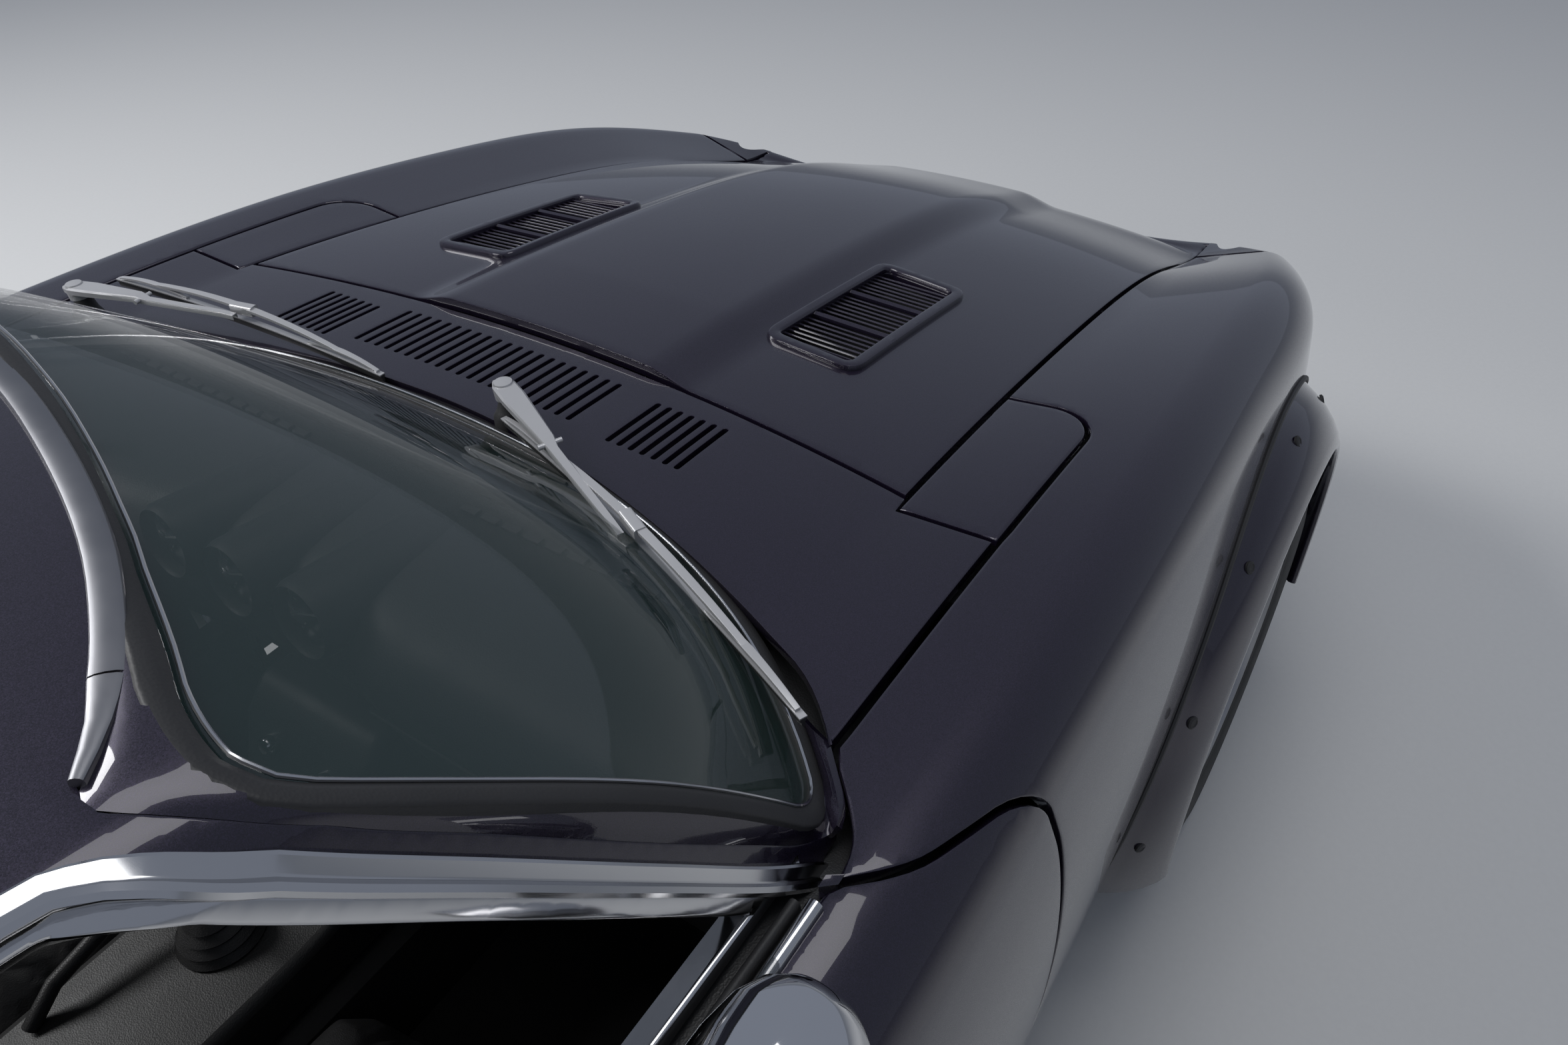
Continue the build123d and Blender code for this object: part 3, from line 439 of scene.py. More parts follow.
def panel(name, surface, outline, holes=(), thick=0.012, radius=0.002, step=0.014):
    """A closed sheet over an outline on a surface, with rounded outer edges."""
    loops = [(dense(outline, step * 0.8), False)] + [(dense(h, step * 0.8), True) for h in holes]
    rims, seeds = [], []
    for loop, hole in loops:
        n = inward(loop, hole)
        rims.append((np.array(loop), n, hole))
        seeds.append(np.array(loop) + n * radius)
    low, high = seeds[0].min(0), seeds[0].max(0)
    gx, gy = np.meshgrid(np.arange(low[0], high[0], step), np.arange(low[1], high[1], step))
    grid = np.stack([gx.ravel(), gy.ravel()], 1)
    keep = inside(grid, seeds[0])
    for hole in seeds[1:]:
        keep &= ~inside(grid, hole)
    grid = grid[keep]
    border = np.concatenate(seeds)
    for start in range(0, len(grid), 4000):
        piece = grid[start:start + 4000]
        near = ((piece[:, None] - border[None])**2).sum(2).min(1) < (step * 0.45)**2
        grid[start:start + 4000][near] = np.nan
    grid = grid[~np.isnan(grid[:, 0])]
    flat = np.concatenate([border, grid])
    edges, start = [], 0
    for seed in seeds:
        n = len(seed)
        edges += [(start + i, start + (i + 1) % n) for i in range(n)]
        start += n
    coords, _, tris, origin, _, _ = delaunay_2d_cdt([Vector(p) for p in flat], edges, [], 0, 1e-7)
    flat = np.array([tuple(c) for c in coords])
    where = {}
    for i, sources in enumerate(origin):
        for s in sources:
            where[s] = i
    tris = np.array([t for t in tris if len(t) == 3])
    middle = flat[tris].mean(1)
    good = inside(middle, seeds[0])
    for hole in seeds[1:]:
        good &= ~inside(middle, hole)
    tris = tris[good]
    a, b, c = (flat[tris[:, i]] for i in range(3))
    turn = (b - a)[:, 0] * (c - a)[:, 1] - (b - a)[:, 1] * (c - a)[:, 0]
    tris[turn < 0] = tris[turn < 0][:, ::-1]

    def lift(p, depth):
        return surface(p) - normals_at(surface, p) * depth

    n = len(flat)
    verts = [lift(flat, 0.0), lift(flat, thick)]
    faces = [tuple(t) for t in tris] + [tuple(t[::-1] + n) for t in tris]
    count, start = 2 * n, 0
    for (rim, into, hole), seed in zip(rims, seeds):
        m = len(rim)
        rings = [lift(rim + into * radius * 0.3, radius * 0.3), lift(rim, radius), lift(rim, thick)]
        top = [where[start + i] for i in range(m)]
        bottom = [where[start + i] + n for i in range(m)]
        levels = [top] + [list(range(count + k * m, count + (k + 1) * m)) for k in range(3)] + [bottom]
        forward = (area_of(rim) > 0) != hole
        for upper, lower in zip(levels, levels[1:]):
            for i in range(m):
                j = (i + 1) % m
                quad = (upper[i], lower[i], lower[j], upper[j])
                faces.append(quad if forward else quad[::-1])
        verts += rings
        count += 3 * m
        start += m
    return link(name, np.concatenate(verts), faces)


def mirrored(obj, name):
    """A copy on the other side of the middle plane, with its faces turned back outwards."""
    mesh = obj.data.copy()
    mesh.transform(Matrix.Scale(-1, 4, LEFT))
    mesh.flip_normals()
    twin = bpy.data.objects.new(name, mesh)
    bpy.context.scene.collection.objects.link(twin)
    return twin


def joined(name, objects):
    """One object from several."""
    verts, faces, slots, kinds, start = [], [], [], [], 0
    for obj in objects:
        mesh = obj.data
        names = list(mesh.materials)
        kinds += [m for m in names if m not in kinds]
        verts += [tuple(v.co) for v in mesh.vertices]
        for p in mesh.polygons:
            faces.append([start + i for i in p.vertices])
            slots.append(kinds.index(names[p.material_index]) if names else 0)
        start += len(mesh.vertices)
        bpy.data.objects.remove(obj)
    made = link(name, verts, faces)
    for m in kinds:
        made.data.materials.append(m)
    for p, s in zip(made.data.polygons, slots):
        p.material_index = s
    return made


def closed_out(obj, merge=0):
    """Makes the faces point outwards, after points within a distance are merged."""
    bm = bmesh.new()
    bm.from_mesh(obj.data)
    if merge:
        bmesh.ops.remove_doubles(bm, verts=bm.verts, dist=merge)
    bmesh.ops.recalc_face_normals(bm, faces=bm.faces)
    bm.to_mesh(obj.data)
    bm.free()
    return obj


# ---- Shader maths

class Wire:
    """A socket with Python's operators: each adds the Math node that it names."""

    def __init__(self, tree, socket):
        self.tree, self.socket = tree, socket

    def math(self, operation, *values):
        node = self.tree.nodes.new("ShaderNodeMath")
        node.operation = operation
        for slot, value in zip(node.inputs, values):
            if isinstance(value, Wire):
                self.tree.links.new(value.socket, slot)
            else:
                slot.default_value = value
        return Wire(self.tree, node.outputs[0])

    def __add__(self, other):
        return self.math("ADD", self, other)

    def __radd__(self, other):
        return self.math("ADD", other, self)

    def __sub__(self, other):
        return self.math("SUBTRACT", self, other)

    def __rsub__(self, other):
        return self.math("SUBTRACT", other, self)

    def __mul__(self, other):
        return self.math("MULTIPLY", self, other)

    def __rmul__(self, other):
        return self.math("MULTIPLY", other, self)


class Finish:
    """A material under construction, with its node tree."""

    def __init__(self, name, **constants):
        self.material = bpy.data.materials.new(name)
        self.material.use_nodes = True
        self.tree = self.material.node_tree
        self.shader = self.tree.nodes["Principled BSDF"]
        self.material.diffuse_color = (*constants.get("Base_Color", (0.5, 0.5, 0.5, 1))[:3], 1)
        for key, value in constants.items():
            self.shader.inputs[key.replace("_", " ")].default_value = value
        self.place = self.node("ShaderNodeTexCoord", out="Object")

    def node(self, kind, settings=None, out=0, **values):
        """Adds a node with its settings, then its input values or links."""
        made = self.tree.nodes.new(kind)
        for key, value in (settings or {}).items():
            setattr(made, key, value)
        for key, value in values.items():
            slot = made.inputs[int(key[1:]) if key[1:].isdigit() else key.replace("_", " ")]
            if isinstance(value, Wire):
                self.tree.links.new(value.socket, slot)
            else:
                slot.default_value = value
        return Wire(self.tree, made.outputs[out])

    def noise(self, scale, detail):
        return self.node("ShaderNodeTexNoise", out="Fac", Vector=self.place, Scale=scale, Detail=detail,
            Roughness=0.55)

    def blend(self, factor, a, b):
        return self.node("ShaderNodeMix", {"data_type": "RGBA"}, out=2, i0=factor, i6=a, i7=b)

    def feed(self, key, wire):
        self.tree.links.new(wire.socket, self.shader.inputs[key])
        return self

    def bump(self, height, strength, distance):
        return self.feed("Normal", self.node("ShaderNodeBump", Strength=strength, Distance=distance,
            Height=height))


def range_of(wire, low, high):
    """A value from 0 to 1, spread from low to high."""
    return wire * (high - low) + low


def painted(name, colour, flake_colour):
    """Metallic car paint: a dark base with fine flake and a slow drift of tone, under a clear coat."""
    m = Finish(name, Metallic=0.55, Coat_Weight=1.0, Coat_Roughness=0.025, Coat_IOR=1.52,
        Specular_IOR_Level=0.5)
    flake = m.node("ShaderNodeTexVoronoi", out="Color", Vector=m.place, Scale=2600.0)
    flake_value = m.node("ShaderNodeSeparateColor", out=0, Color=flake)
    drift = m.noise(2.2, 4)
    tone = m.blend(drift, (*[c * 0.82 for c in colour], 1), (*[c * 1.18 for c in colour], 1))
    m.feed("Base Color", m.blend(flake_value * flake_value * 0.35, tone, (*flake_colour, 1)))
    m.feed("Roughness", range_of(flake_value, 0.26, 0.4))
    m.feed("Coat Weight", range_of(m.noise(9.0, 5), 0.92, 1.0))
    m.bump(m.noise(48.0, 2), 0.012, 0.002)
    return m.material


def metal(name, colour, rough, **more):
    """Bare or plated metal, with faint smears."""
    m = Finish(name, Metallic=1.0, **more)
    m.feed("Base Color", m.blend(m.noise(14.0, 4), (*[c * 0.9 for c in colour], 1), (*colour, 1)))
    m.feed("Roughness", range_of(m.noise(22.0, 5), rough * 0.7, rough * 1.3))
    m.bump(m.noise(60.0, 2), 0.02, 0.001)
    return m.material


DUST = (0.09, 0.088, 0.085, 1)


def plain(name, colour, rough, grain, depth, strength, spread=0.2, **more):
    """Moulded plastic, rubber or vinyl: a fine grain and a little dust."""
    m = Finish(name, **more)
    cell = m.node("ShaderNodeTexVoronoi", {"feature": "F1"}, out="Distance", Vector=m.place, Scale=grain)
    m.feed("Base Color", m.blend(m.noise(7.0, 5) * spread, (*colour, 1), DUST))
    m.feed("Roughness", range_of(m.noise(30.0, 4), rough * 0.85, min(1.0, rough * 1.15)))
    m.bump(cell, strength, depth)
    return m.material


def clear(name, colour, alpha):
    """Glass seen from both sides: a thin tinted film with a mirror-like coat."""
    m = Finish(name, Roughness=0.02, IOR=1.5, Specular_IOR_Level=0.9, Coat_Weight=1.0, Coat_Roughness=0.01)
    smear = m.noise(5.0, 4)
    m.feed("Base Color", m.blend(smear, (*[c * 0.9 for c in colour], 1), (*colour, 1)))
    m.feed("Alpha", range_of(smear, alpha, alpha + 0.03))
    m.feed("Roughness", range_of(m.noise(16.0, 5), 0.0, 0.03))
    return m.material


# ---- Shapes that several pieces use

def normals_at(surface, p):
    h = 1e-4
    du = surface(p + [h, 0]) - surface(p - [h, 0])
    dv = surface(p + [0, h]) - surface(p - [0, h])
    normal = np.cross(du, dv)
    return normal / np.maximum(np.linalg.norm(normal, axis=1), 1e-12)[:, None]


def raised(surface, height):
    """The same surface, moved outwards."""
    return lambda p: surface(p) + normals_at(surface, p) * height


def loft(name, loops, closed=False):
    """A closed skin through loops of equally many points."""
    n, m = len(loops[0]), len(loops)
    verts = [p for loop in loops for p in loop]
    faces = []
    for k in range(m if closed else m - 1):
        a, b = k * n, (k + 1) % m * n
        faces += [(a + i, a + (i + 1) % n, b + (i + 1) % n, b + i) for i in range(n)]
    if not closed:
        faces += [tuple(range(n)), tuple(range((m - 1) * n, m * n))]
    return closed_out(link(name, verts, faces))


def sweep(name, path, ups, profile, closed=False, taper=None):
    """A closed bar along a path; the profile's points are (to the right, upwards)."""
    p = np.array(path, float)
    t = np.roll(p, -1, 0) - np.roll(p, 1, 0) if closed else np.gradient(p, axis=0)
    t /= np.linalg.norm(t, axis=1)[:, None]
    up = np.broadcast_to(np.array(ups, float), p.shape).copy()
    up -= (up * t).sum(1)[:, None] * t
    up /= np.linalg.norm(up, axis=1)[:, None]
    side = np.cross(t, up)
    size = np.ones((len(p), 2)) if taper is None else np.broadcast_to(np.array(taper, float).T, (2, len(p))).T
    return loft(name, [[p[i] + side[i] * a * size[i, 0] + up[i] * b * size[i, 1] for a, b in profile]
                       for i in range(len(p))], closed)


def strip(name, surface, domain, profile, closed=False):
    """A moulding that follows a line on a surface."""
    d = np.array(domain, float)
    return sweep(name, surface(d), normals_at(surface, d), profile, closed)


def turned(name, profile, centre, axis=LEFT, steps=48):
    """A shape of revolution from a closed profile of (radius, distance along the axis)."""
    z = Vector(axis).normalized()
    x = z.orthogonal().normalized()
    y = z.cross(x)
    verts, faces, n = [], [], len(profile)
    for k in range(steps):
        way = x * cos(tau * k / steps) + y * sin(tau * k / steps)
        verts += [Vector(centre) + way * r + z * h for r, h in profile]
        a, b = k * n, (k + 1) % steps * n
        faces += [(a + i, a + (i + 1) % n, b + (i + 1) % n, b + i) for i in range(n)]
    return closed_out(link(name, verts, faces), 1e-6)


def oval(a, b, n=10):
    return [(a * cos(tau * i / n), b * sin(tau * i / n)) for i in range(n)]


def rect(w, h, low=0.0):
    return [(-w / 2, low), (w / 2, low), (w / 2, low + h), (-w / 2, low + h)]


def hood(w, h):
    """A profile that is flat below and domed on top."""
    return [(w / 2 * cos(a), h * sin(a)**0.7) for a in (pi * i / 6 for i in range(7))]


def oblong(a0, a1, b0, b1, radius, steps=6):
    """A rounded rectangle over two ranges."""
    return rounded([(a0, b0), (a1, b0), (a1, b1), (a0, b1)], radius, steps)


def smoothed(obj, levels=1):
    """A piece subdivided to a smooth skin."""
    mod = obj.modifiers.new("smooth", "SUBSURF")
    mod.levels = mod.render_levels = levels
    return flat_copy(obj)


def slab(name, points, near, far):
    """A plate between y near and y far whose side view is given."""
    return loft(name, [[(x, near, z) for x, z in points], [(x, far, z) for x, z in points]])


def repeat_tree():
    """The node tree that sets a piece in rows, each copy moved and turned on from the last."""
    tree = bpy.data.node_groups.new("repeat a piece", "GeometryNodeTree")
    for label, kind in (("Piece", "Object"), ("Count", "Int"), ("Step", "Vector"), ("Rows", "Int"),
            ("Row Step", "Vector"), ("Start", "Vector"), ("Turn", "Vector"), ("Finish", "Material")):
        tree.interface.new_socket(label, in_out="INPUT", socket_type="NodeSocket" + kind)
    tree.interface.new_socket("Geometry", in_out="OUTPUT", socket_type="NodeSocketGeometry")
    made = {key: tree.nodes.new(kind) for key, kind in {
        "given": "NodeGroupInput", "out": "NodeGroupOutput", "line": "GeometryNodeMeshLine",
        "rows": "GeometryNodeMeshLine", "grid": "GeometryNodeInstanceOnPoints",
        "points": "GeometryNodeRealizeInstances", "piece": "GeometryNodeObjectInfo",
        "index": "GeometryNodeInputIndex", "turn": "ShaderNodeVectorMath",
        "copies": "GeometryNodeInstanceOnPoints", "real": "GeometryNodeRealizeInstances",
        "finish": "GeometryNodeSetMaterial"}.items()}
    made["line"].mode = made["rows"].mode = "OFFSET"
    made["turn"].operation = "SCALE"
    for source, target in (("given.Count", "line.Count"), ("given.Step", "line.Offset"),
            ("given.Rows", "rows.Count"), ("given.Row Step", "rows.Offset"),
            ("given.Start", "rows.Start Location"), ("rows.Mesh", "grid.Points"),
            ("line.Mesh", "grid.Instance"), ("grid.Instances", "points.Geometry"),
            ("points.Geometry", "copies.Points"), ("given.Piece", "piece.Object"),
            ("piece.Geometry", "copies.Instance"), ("given.Turn", "turn.Vector"),
            ("index.Index", "turn.Scale"), ("turn.Vector", "copies.Rotation"),
            ("copies.Instances", "real.Geometry"), ("real.Geometry", "finish.Geometry"),
            ("given.Finish", "finish.Material"), ("finish.Geometry", "out.Geometry")):
        (a, b), (c, d) = source.split("."), target.split(".")
        tree.links.new(made[a].outputs[b], made[c].inputs[d])
    return tree


def repeated(name, piece, material, count, step=(0, 0, 0), rows=1, row_step=(0, 0, 0), start=(0, 0, 0),
        turn=(0, 0, 0)):
    """Copies of a piece as one plain mesh; the piece itself is used up."""
    host = link(name, [], [])
    mod = host.modifiers.new("repeat", "NODES")
    mod.node_group = bpy.data.node_groups.get("repeat a piece") or repeat_tree()
    keys = {s.name: s.identifier for s in mod.node_group.interface.items_tree if s.in_out == "INPUT"}
    for label, value in (("Piece", piece), ("Count", count), ("Step", step), ("Rows", rows),
            ("Row Step", row_step), ("Start", start), ("Turn", turn), ("Finish", MATERIALS[material])):
        mod[keys[label]] = tuple(float(v) for v in value) if isinstance(value,
            (tuple, list, np.ndarray, Vector)) else value
    made = flat_copy(host)
    bpy.data.objects.remove(piece)
    return made


def carried(node, material, body="car_body", bevel=0.0015):
    """A merged copy of a CAD node with softened edges, which stands for it."""
    copy = bpy.data.objects.new(node + "_dressed", frame["nodes"][node].data.copy())
    bpy.context.scene.collection.objects.link(copy)
    bm = bmesh.new()
    bm.from_mesh(copy.data)
    bmesh.ops.remove_doubles(bm, verts=bm.verts, dist=2e-5)
    bmesh.ops.dissolve_limit(bm, angle_limit=radians(0.6), verts=bm.verts, edges=bm.edges)
    bm.to_mesh(copy.data)
    bm.free()
    return finish(copy, material, node, body, 32, bevel)


# ---- Materials

def make_materials(colours):
    """Every finish of the car, by the name that the pieces use."""
    paint = tuple(colours.paint)
    return {
        "paint": painted("aubergine paint", paint, tuple(colours.flake)),
        "rubber": plain("black rubber", (0.012, 0.012, 0.013), 0.55, 500, 0.0003, 0.4),
        "matt_black": plain("matt black", (0.01, 0.01, 0.011), 0.6, 700, 0.0002, 0.3),
        "moulding": metal("satin moulding", (0.30, 0.30, 0.315), 0.34),
        "bright": metal("bright steel", (0.62, 0.62, 0.63), 0.14),
        "chrome": metal("chrome", (0.74, 0.74, 0.75), 0.06),
        "silver": plain("silver wiper", (0.50, 0.50, 0.51), 0.32, 700, 0.0001, 0.2, Metallic=0.4),
        "glass": clear("tinted glass", (0.010, 0.038, 0.033), 0.36),
        "side_glass": clear("side glass", (0.012, 0.024, 0.022), 0.38),
        "lamp_glass": clear("lamp glass", (0.8, 0.84, 0.86), 0.18),
        "amber": plain("amber lens", (0.85, 0.26, 0.02), 0.12, 180, 0.0008, 0.5, spread=0.05),
        "red": plain("red lens", (0.42, 0.006, 0.01), 0.12, 160, 0.0008, 0.5, spread=0.05),
        "vinyl": plain("seat vinyl", (0.014, 0.014, 0.015), 0.46, 620, 0.0004, 0.55),
        "dash": plain("padded dash", (0.013, 0.0135, 0.014), 0.5, 560, 0.0004, 0.5),
        "wheel_rim": plain("steering rim", (0.02, 0.012, 0.008), 0.3, 300, 0.0002, 0.3),
        "lining": plain("headlining", (0.03, 0.03, 0.03), 0.8, 420, 0.0004, 0.5),
        "carpet": plain("carpet", (0.016, 0.015, 0.015), 0.95, 1500, 0.0012, 0.9),
        "tyre": plain("tyre rubber", (0.014, 0.014, 0.014), 0.72, 420, 0.0003, 0.4),
        "alloy": metal("cast alloy", (0.33, 0.335, 0.35), 0.3),
        "steel": metal("bare steel", (0.36, 0.35, 0.34), 0.4),
        "casting": plain("raw casting", (0.13, 0.13, 0.135), 0.6, 420, 0.0006, 0.6, Metallic=0.6),
        "underseal": plain("underseal", (0.018, 0.018, 0.019), 0.85, 300, 0.0008, 0.7),
        "dial": plain("dial face", (0.006, 0.006, 0.007), 0.3, 900, 0.0001, 0.1, spread=0.03),
        "dial_marks": plain("dial marks", (0.6, 0.6, 0.56), 0.5, 900, 0.0001, 0.1, spread=0.03),
    }


MATERIALS = {}


def finish(obj, material, nodes=(), body="car_body", sharp=42, bevel=0.0):
    """Gives a piece its material, shading, softened edges, body and the nodes that it stands for."""
    obj.data.materials.clear()
    obj.data.materials.append(MATERIALS[material])
    obj.data.shade_smooth()
    if bevel:
        mod = obj.modifiers.new("soft edges", "BEVEL")
        mod.width, mod.segments, mod.limit_method, mod.angle_limit = bevel, 2, "ANGLE", radians(sharp)
        mod.harden_normals = False
    obj.data.set_sharp_from_angle(angle=radians(60 if bevel else sharp))
    mod = obj.modifiers.new("even normals", "WEIGHTED_NORMAL")
    mod.keep_sharp, mod.weight = True, 80
    obj = flat_copy(obj)
    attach(obj, body)
    if nodes:
        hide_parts(*([nodes] if isinstance(nodes, str) else nodes))
    return obj


def flat_copy(obj):
    """Turns an object with live modifiers into a plain mesh of the same name."""
    bpy.context.view_layer.update()
    graph = bpy.context.evaluated_depsgraph_get()
    mesh = bpy.data.meshes.new_from_object(obj.evaluated_get(graph), depsgraph=graph)
    mesh.name = obj.name
    obj.modifiers.clear()
    obj.data = mesh
    return obj


# ---- The panels' lines, in millimetres ahead of the front axle unless said

BONNET_REAR = [(ahead(-548), 0.530), (ahead(-505), 0.0), (ahead(-548), -0.530)]
BONNET_LIP = 0.602  # the height of the front edge
GAP = 0.0055
LID_FRONT, LID_REAR = ahead(-300), ahead(-572)
LID_OUTER = 0.640
DOOR_REAR = by_rear(530)
DOOR_LEAN = 0.28
DOOR_FOOT = 0.249
QUARTER_WINDOW = [(560, 934), (520, 1158), (400, 1148), (225, 1104), (30, 1010), (-40, 946)]
ARCH_CUT = 0.372
FLARE_ROOT = 0.4365
FULL_HALF = 0.851  # the half width over the flares


def bonnet_edge(x):
    """The bonnet's half width at x."""
    t = np.clip((np.asarray(x) - ahead(-548)) / (ahead(600) - ahead(-548)), 0, 1)
    return 0.530 + (0.498 - 0.530) * t


def raised_middle(x, y):
    """How far the bonnet's middle stands up at a plan point."""
    foot = np.interp(x, [ahead(450), ahead(700)], [0.236, 0.205])
    crown = foot - 0.074
    t = np.clip((foot - np.abs(y)) / (foot - crown), 0, 1)
    rise = t * t * (3 - 2 * t)
    tall = np.interp(x, [ahead(-510), ahead(-350), ahead(300), ahead(640), ahead(735)],
        [0.013, 0.017, 0.019, 0.016, 0.010])
    return rise * tall


def bonnet_surface(p):
    """The lower body with the bonnet's raised middle."""
    v = lower_surface(p)
    v[:, 2] += raised_middle(v[:, 0], v[:, 1])
    return v


def bonnet_outline():
    """The bonnet's edge, anticlockwise from the rear left corner."""
    half = []
    for x in np.linspace(BONNET_REAR[0][0], ahead(733), 60):
        (_, by_width), (_, by_height) = on_top([(x, float(bonnet_edge(x)))])[0], on_side([(x, BONNET_LIP)])[0]
        half.append((x, min(by_width, by_height)))
    # Rear edge from left to right, right side forwards, front, left side back
    return on_top(arc_between(*BONNET_REAR, n=41)) + [(x, -u) for x, u in half][1:] + half[:0:-1]


VENT = [(-66, 0.236), (-78, 0.346), (-352, 0.346), (-340, 0.236)]
VENT_RING = [(-49, 0.219), (-61, 0.363), (-369, 0.363), (-357, 0.219)]


def vent_outline(rows, side, radius):
    """A vent's edge on one side, with rounded corners."""
    return rounded(on_top([(ahead(x), y * side) for x, y in rows]), radius)


def build_bonnet():
    holes = [vent_outline(VENT, side, 0.012) for side in (1, -1)]
    bonnet = panel("bonnet_skin", bonnet_surface, bonnet_outline(), holes, 0.016, 0.0028, 0.013)
    return finish(bonnet, "paint", "bonnet", "bonnet_lid")


def curve(points, step=0.012):
    """A smooth line through points."""
    p = np.array(points, float)
    p = np.concatenate([2 * p[:1] - p[1:2], p, 2 * p[-1:] - p[-2:-1]])
    result = []
    for a, b, c, d in zip(p, p[1:], p[2:], p[3:]):
        n = max(2, int(np.linalg.norm(c - b) / step))
        for t in np.arange(n) / n:
            result.append(0.5 * (2 * b + (c - a) * t + (2 * a - 5 * b + 4 * c - d) * t**2
                + (3 * b - a - 3 * c + d) * t**3))
    return result + [p[-2]]


def grown(loop, amount):
    """A closed line moved outwards."""
    return np.array(loop) - inward(loop) * amount


def both(obj, name, material, bodies, nodes=((), ()), **more):
    """Finishes a left-hand piece and its mirror image."""
    twin = mirrored(obj, name + "_right")
    obj.name = name + "_left"
    return finish(obj, material, nodes[0], bodies[0], **more), finish(twin, material, nodes[1], bodies[1],
        **more)


def paired(name, parts, material, nodes=(), **more):
    """Finishes left-hand shapes and their mirror images as one fixed piece."""
    return finish(joined(name, parts + [mirrored(p, p.name + "_r") for p in parts]), material, nodes, **more)


DOORS = ("left_door", "right_door")

# Where the left door's front gap runs, from the screen pillar's foot over the shoulder and down
DOOR_LINE = [(-972, 0.702, 0.914), (-962, 0.7095, 0.914), (-944, 0.727, 0.912), (-914, 0.746, 0.906),
    (-868, 0.761, 0.897), (-826, 0.771, 0.884), (-797, 0.784, 0.862), (-781, 0.795, 0.818),
    (-772, 0.802, 0.779), (-767, 0.807, 0.72)]


def door_front_line(shift=0.0):
    """Domain points of the door's front edge, moved forwards by shift."""
    line = place([(ahead(x), y, z) for x, y, z in DOOR_LINE])
    line += on_side([(ahead(-765), z) for z in (0.62, 0.5, 0.38, DOOR_FOOT)])
    return moved(curve(line, 0.012), shift, 0)


def door_rear_line(shift=0.0):
    """Domain points of the door's leaning rear edge, from the bottom up."""
    line = []
    for z in (DOOR_FOOT, 0.35, 0.5, 0.64, 0.75, 0.82, 0.87):
        y = side_y(DOOR_REAR, z)
        line += on_side([(DOOR_REAR + DOOR_LEAN * (0.815 - y) - shift, z)])
    for y in (0.772, 0.75, 0.725, 0.700):
        line += on_top([(DOOR_REAR + DOOR_LEAN * (0.815 - y) - shift, y)])
    return line


def arch_line(axle_x, radius):
    """Domain points round a wheel arch, from its front foot over the top to its rear foot."""
    return on_side([(axle_x + radius * cos(a), AXLE_Z + radius * sin(a))
        for a in np.radians(np.linspace(-15, 195, 64))])


def lid_corner(gap=0.0):
    """Plan points of the inspection lid's outer front corner."""
    r = 0.060 + gap
    cx, cy = LID_FRONT - 0.060, LID_OUTER - 0.060
    return [(cx + r * sin(a), cy + r * cos(a)) for a in np.linspace(0, pi / 2, 14)]


def build_lids():
    outline = [(LID_REAR, LID_OUTER)] + lid_corner() + [(LID_FRONT, bonnet_edge(LID_FRONT) + 0.006),
        (LID_REAR, bonnet_edge(LID_REAR) + 0.006)]
    lid = panel("lid_skin", lower_surface, on_top(dense(outline, 0.02)), (), 0.0078, 0.0022, 0.013)
    both(lid, "inspection_lid_skin", "paint", ("left_lid", "right_lid"),
        ("inspection_lid_left", "inspection_lid_right"))


def wing_outline():
    """The left wing: bonnet side, nose seam, arch, door gap, screen foot, cowl seam and lid."""
    inner = [(x, float(bonnet_edge(x)) + GAP) for x in np.linspace(LID_FRONT + GAP, ahead(607), 40)]
    front = [(ahead(607), s) for s in np.linspace(on_top(inner[-1:])[0][1], GIRTH, 40)][1:]
    arch = arch_line(FRONT_X, ARCH_CUT)
    rear = door_front_line(0.007)
    low = [(ahead(-757.5), GIRTH)]
    foot = on_top(curve([(ahead(-962), 0.7025), (ahead(-940), 0.7000), (ahead(-921), 0.6915),
        (ahead(-899), 0.6735), (ahead(-879), 0.6545), (ahead(-862), 0.6440)]))
    seam = on_top([(x, 0.6445) for x in np.linspace(ahead(-845), LID_REAR, 16)])
    lid = on_top([(x, LID_OUTER + GAP) for x in np.linspace(LID_REAR + 0.02, LID_FRONT - 0.07, 12)]
        + lid_corner(GAP))
    return on_top(inner) + front + arch + low + rear[::-1] + foot + seam + lid


def build_wings():
    wing = panel("wing", lower_surface, wing_outline(), (), 0.014, 0.0026, 0.014)
    paired("front_wing_skins", [wing], "paint", "front_wings")


SLOTS_ACROSS = [(-0.220, -0.313, 7, -553), (0.201, -0.155, 21, -541), (0.342, 0.250, 7, -557)]


def cowl_slots():
    """The air slots, each a long rounded hole that runs back towards the screen."""
    holes = []
    for y0, y1, count, x_top in SLOTS_ACROSS:
        for y in np.linspace(y0, y1, count):
            front = ahead(x_top) - 0.12 * (y - (y0 + y1) / 2)**2
            loop = rounded([(front, y - 0.0033), (front, y + 0.0033), (front - 0.090, y + 0.0033),
                (front - 0.090, y - 0.0033)], 0.0033, 4)
            holes.append(on_top(dense(loop, 0.012)))
    return holes


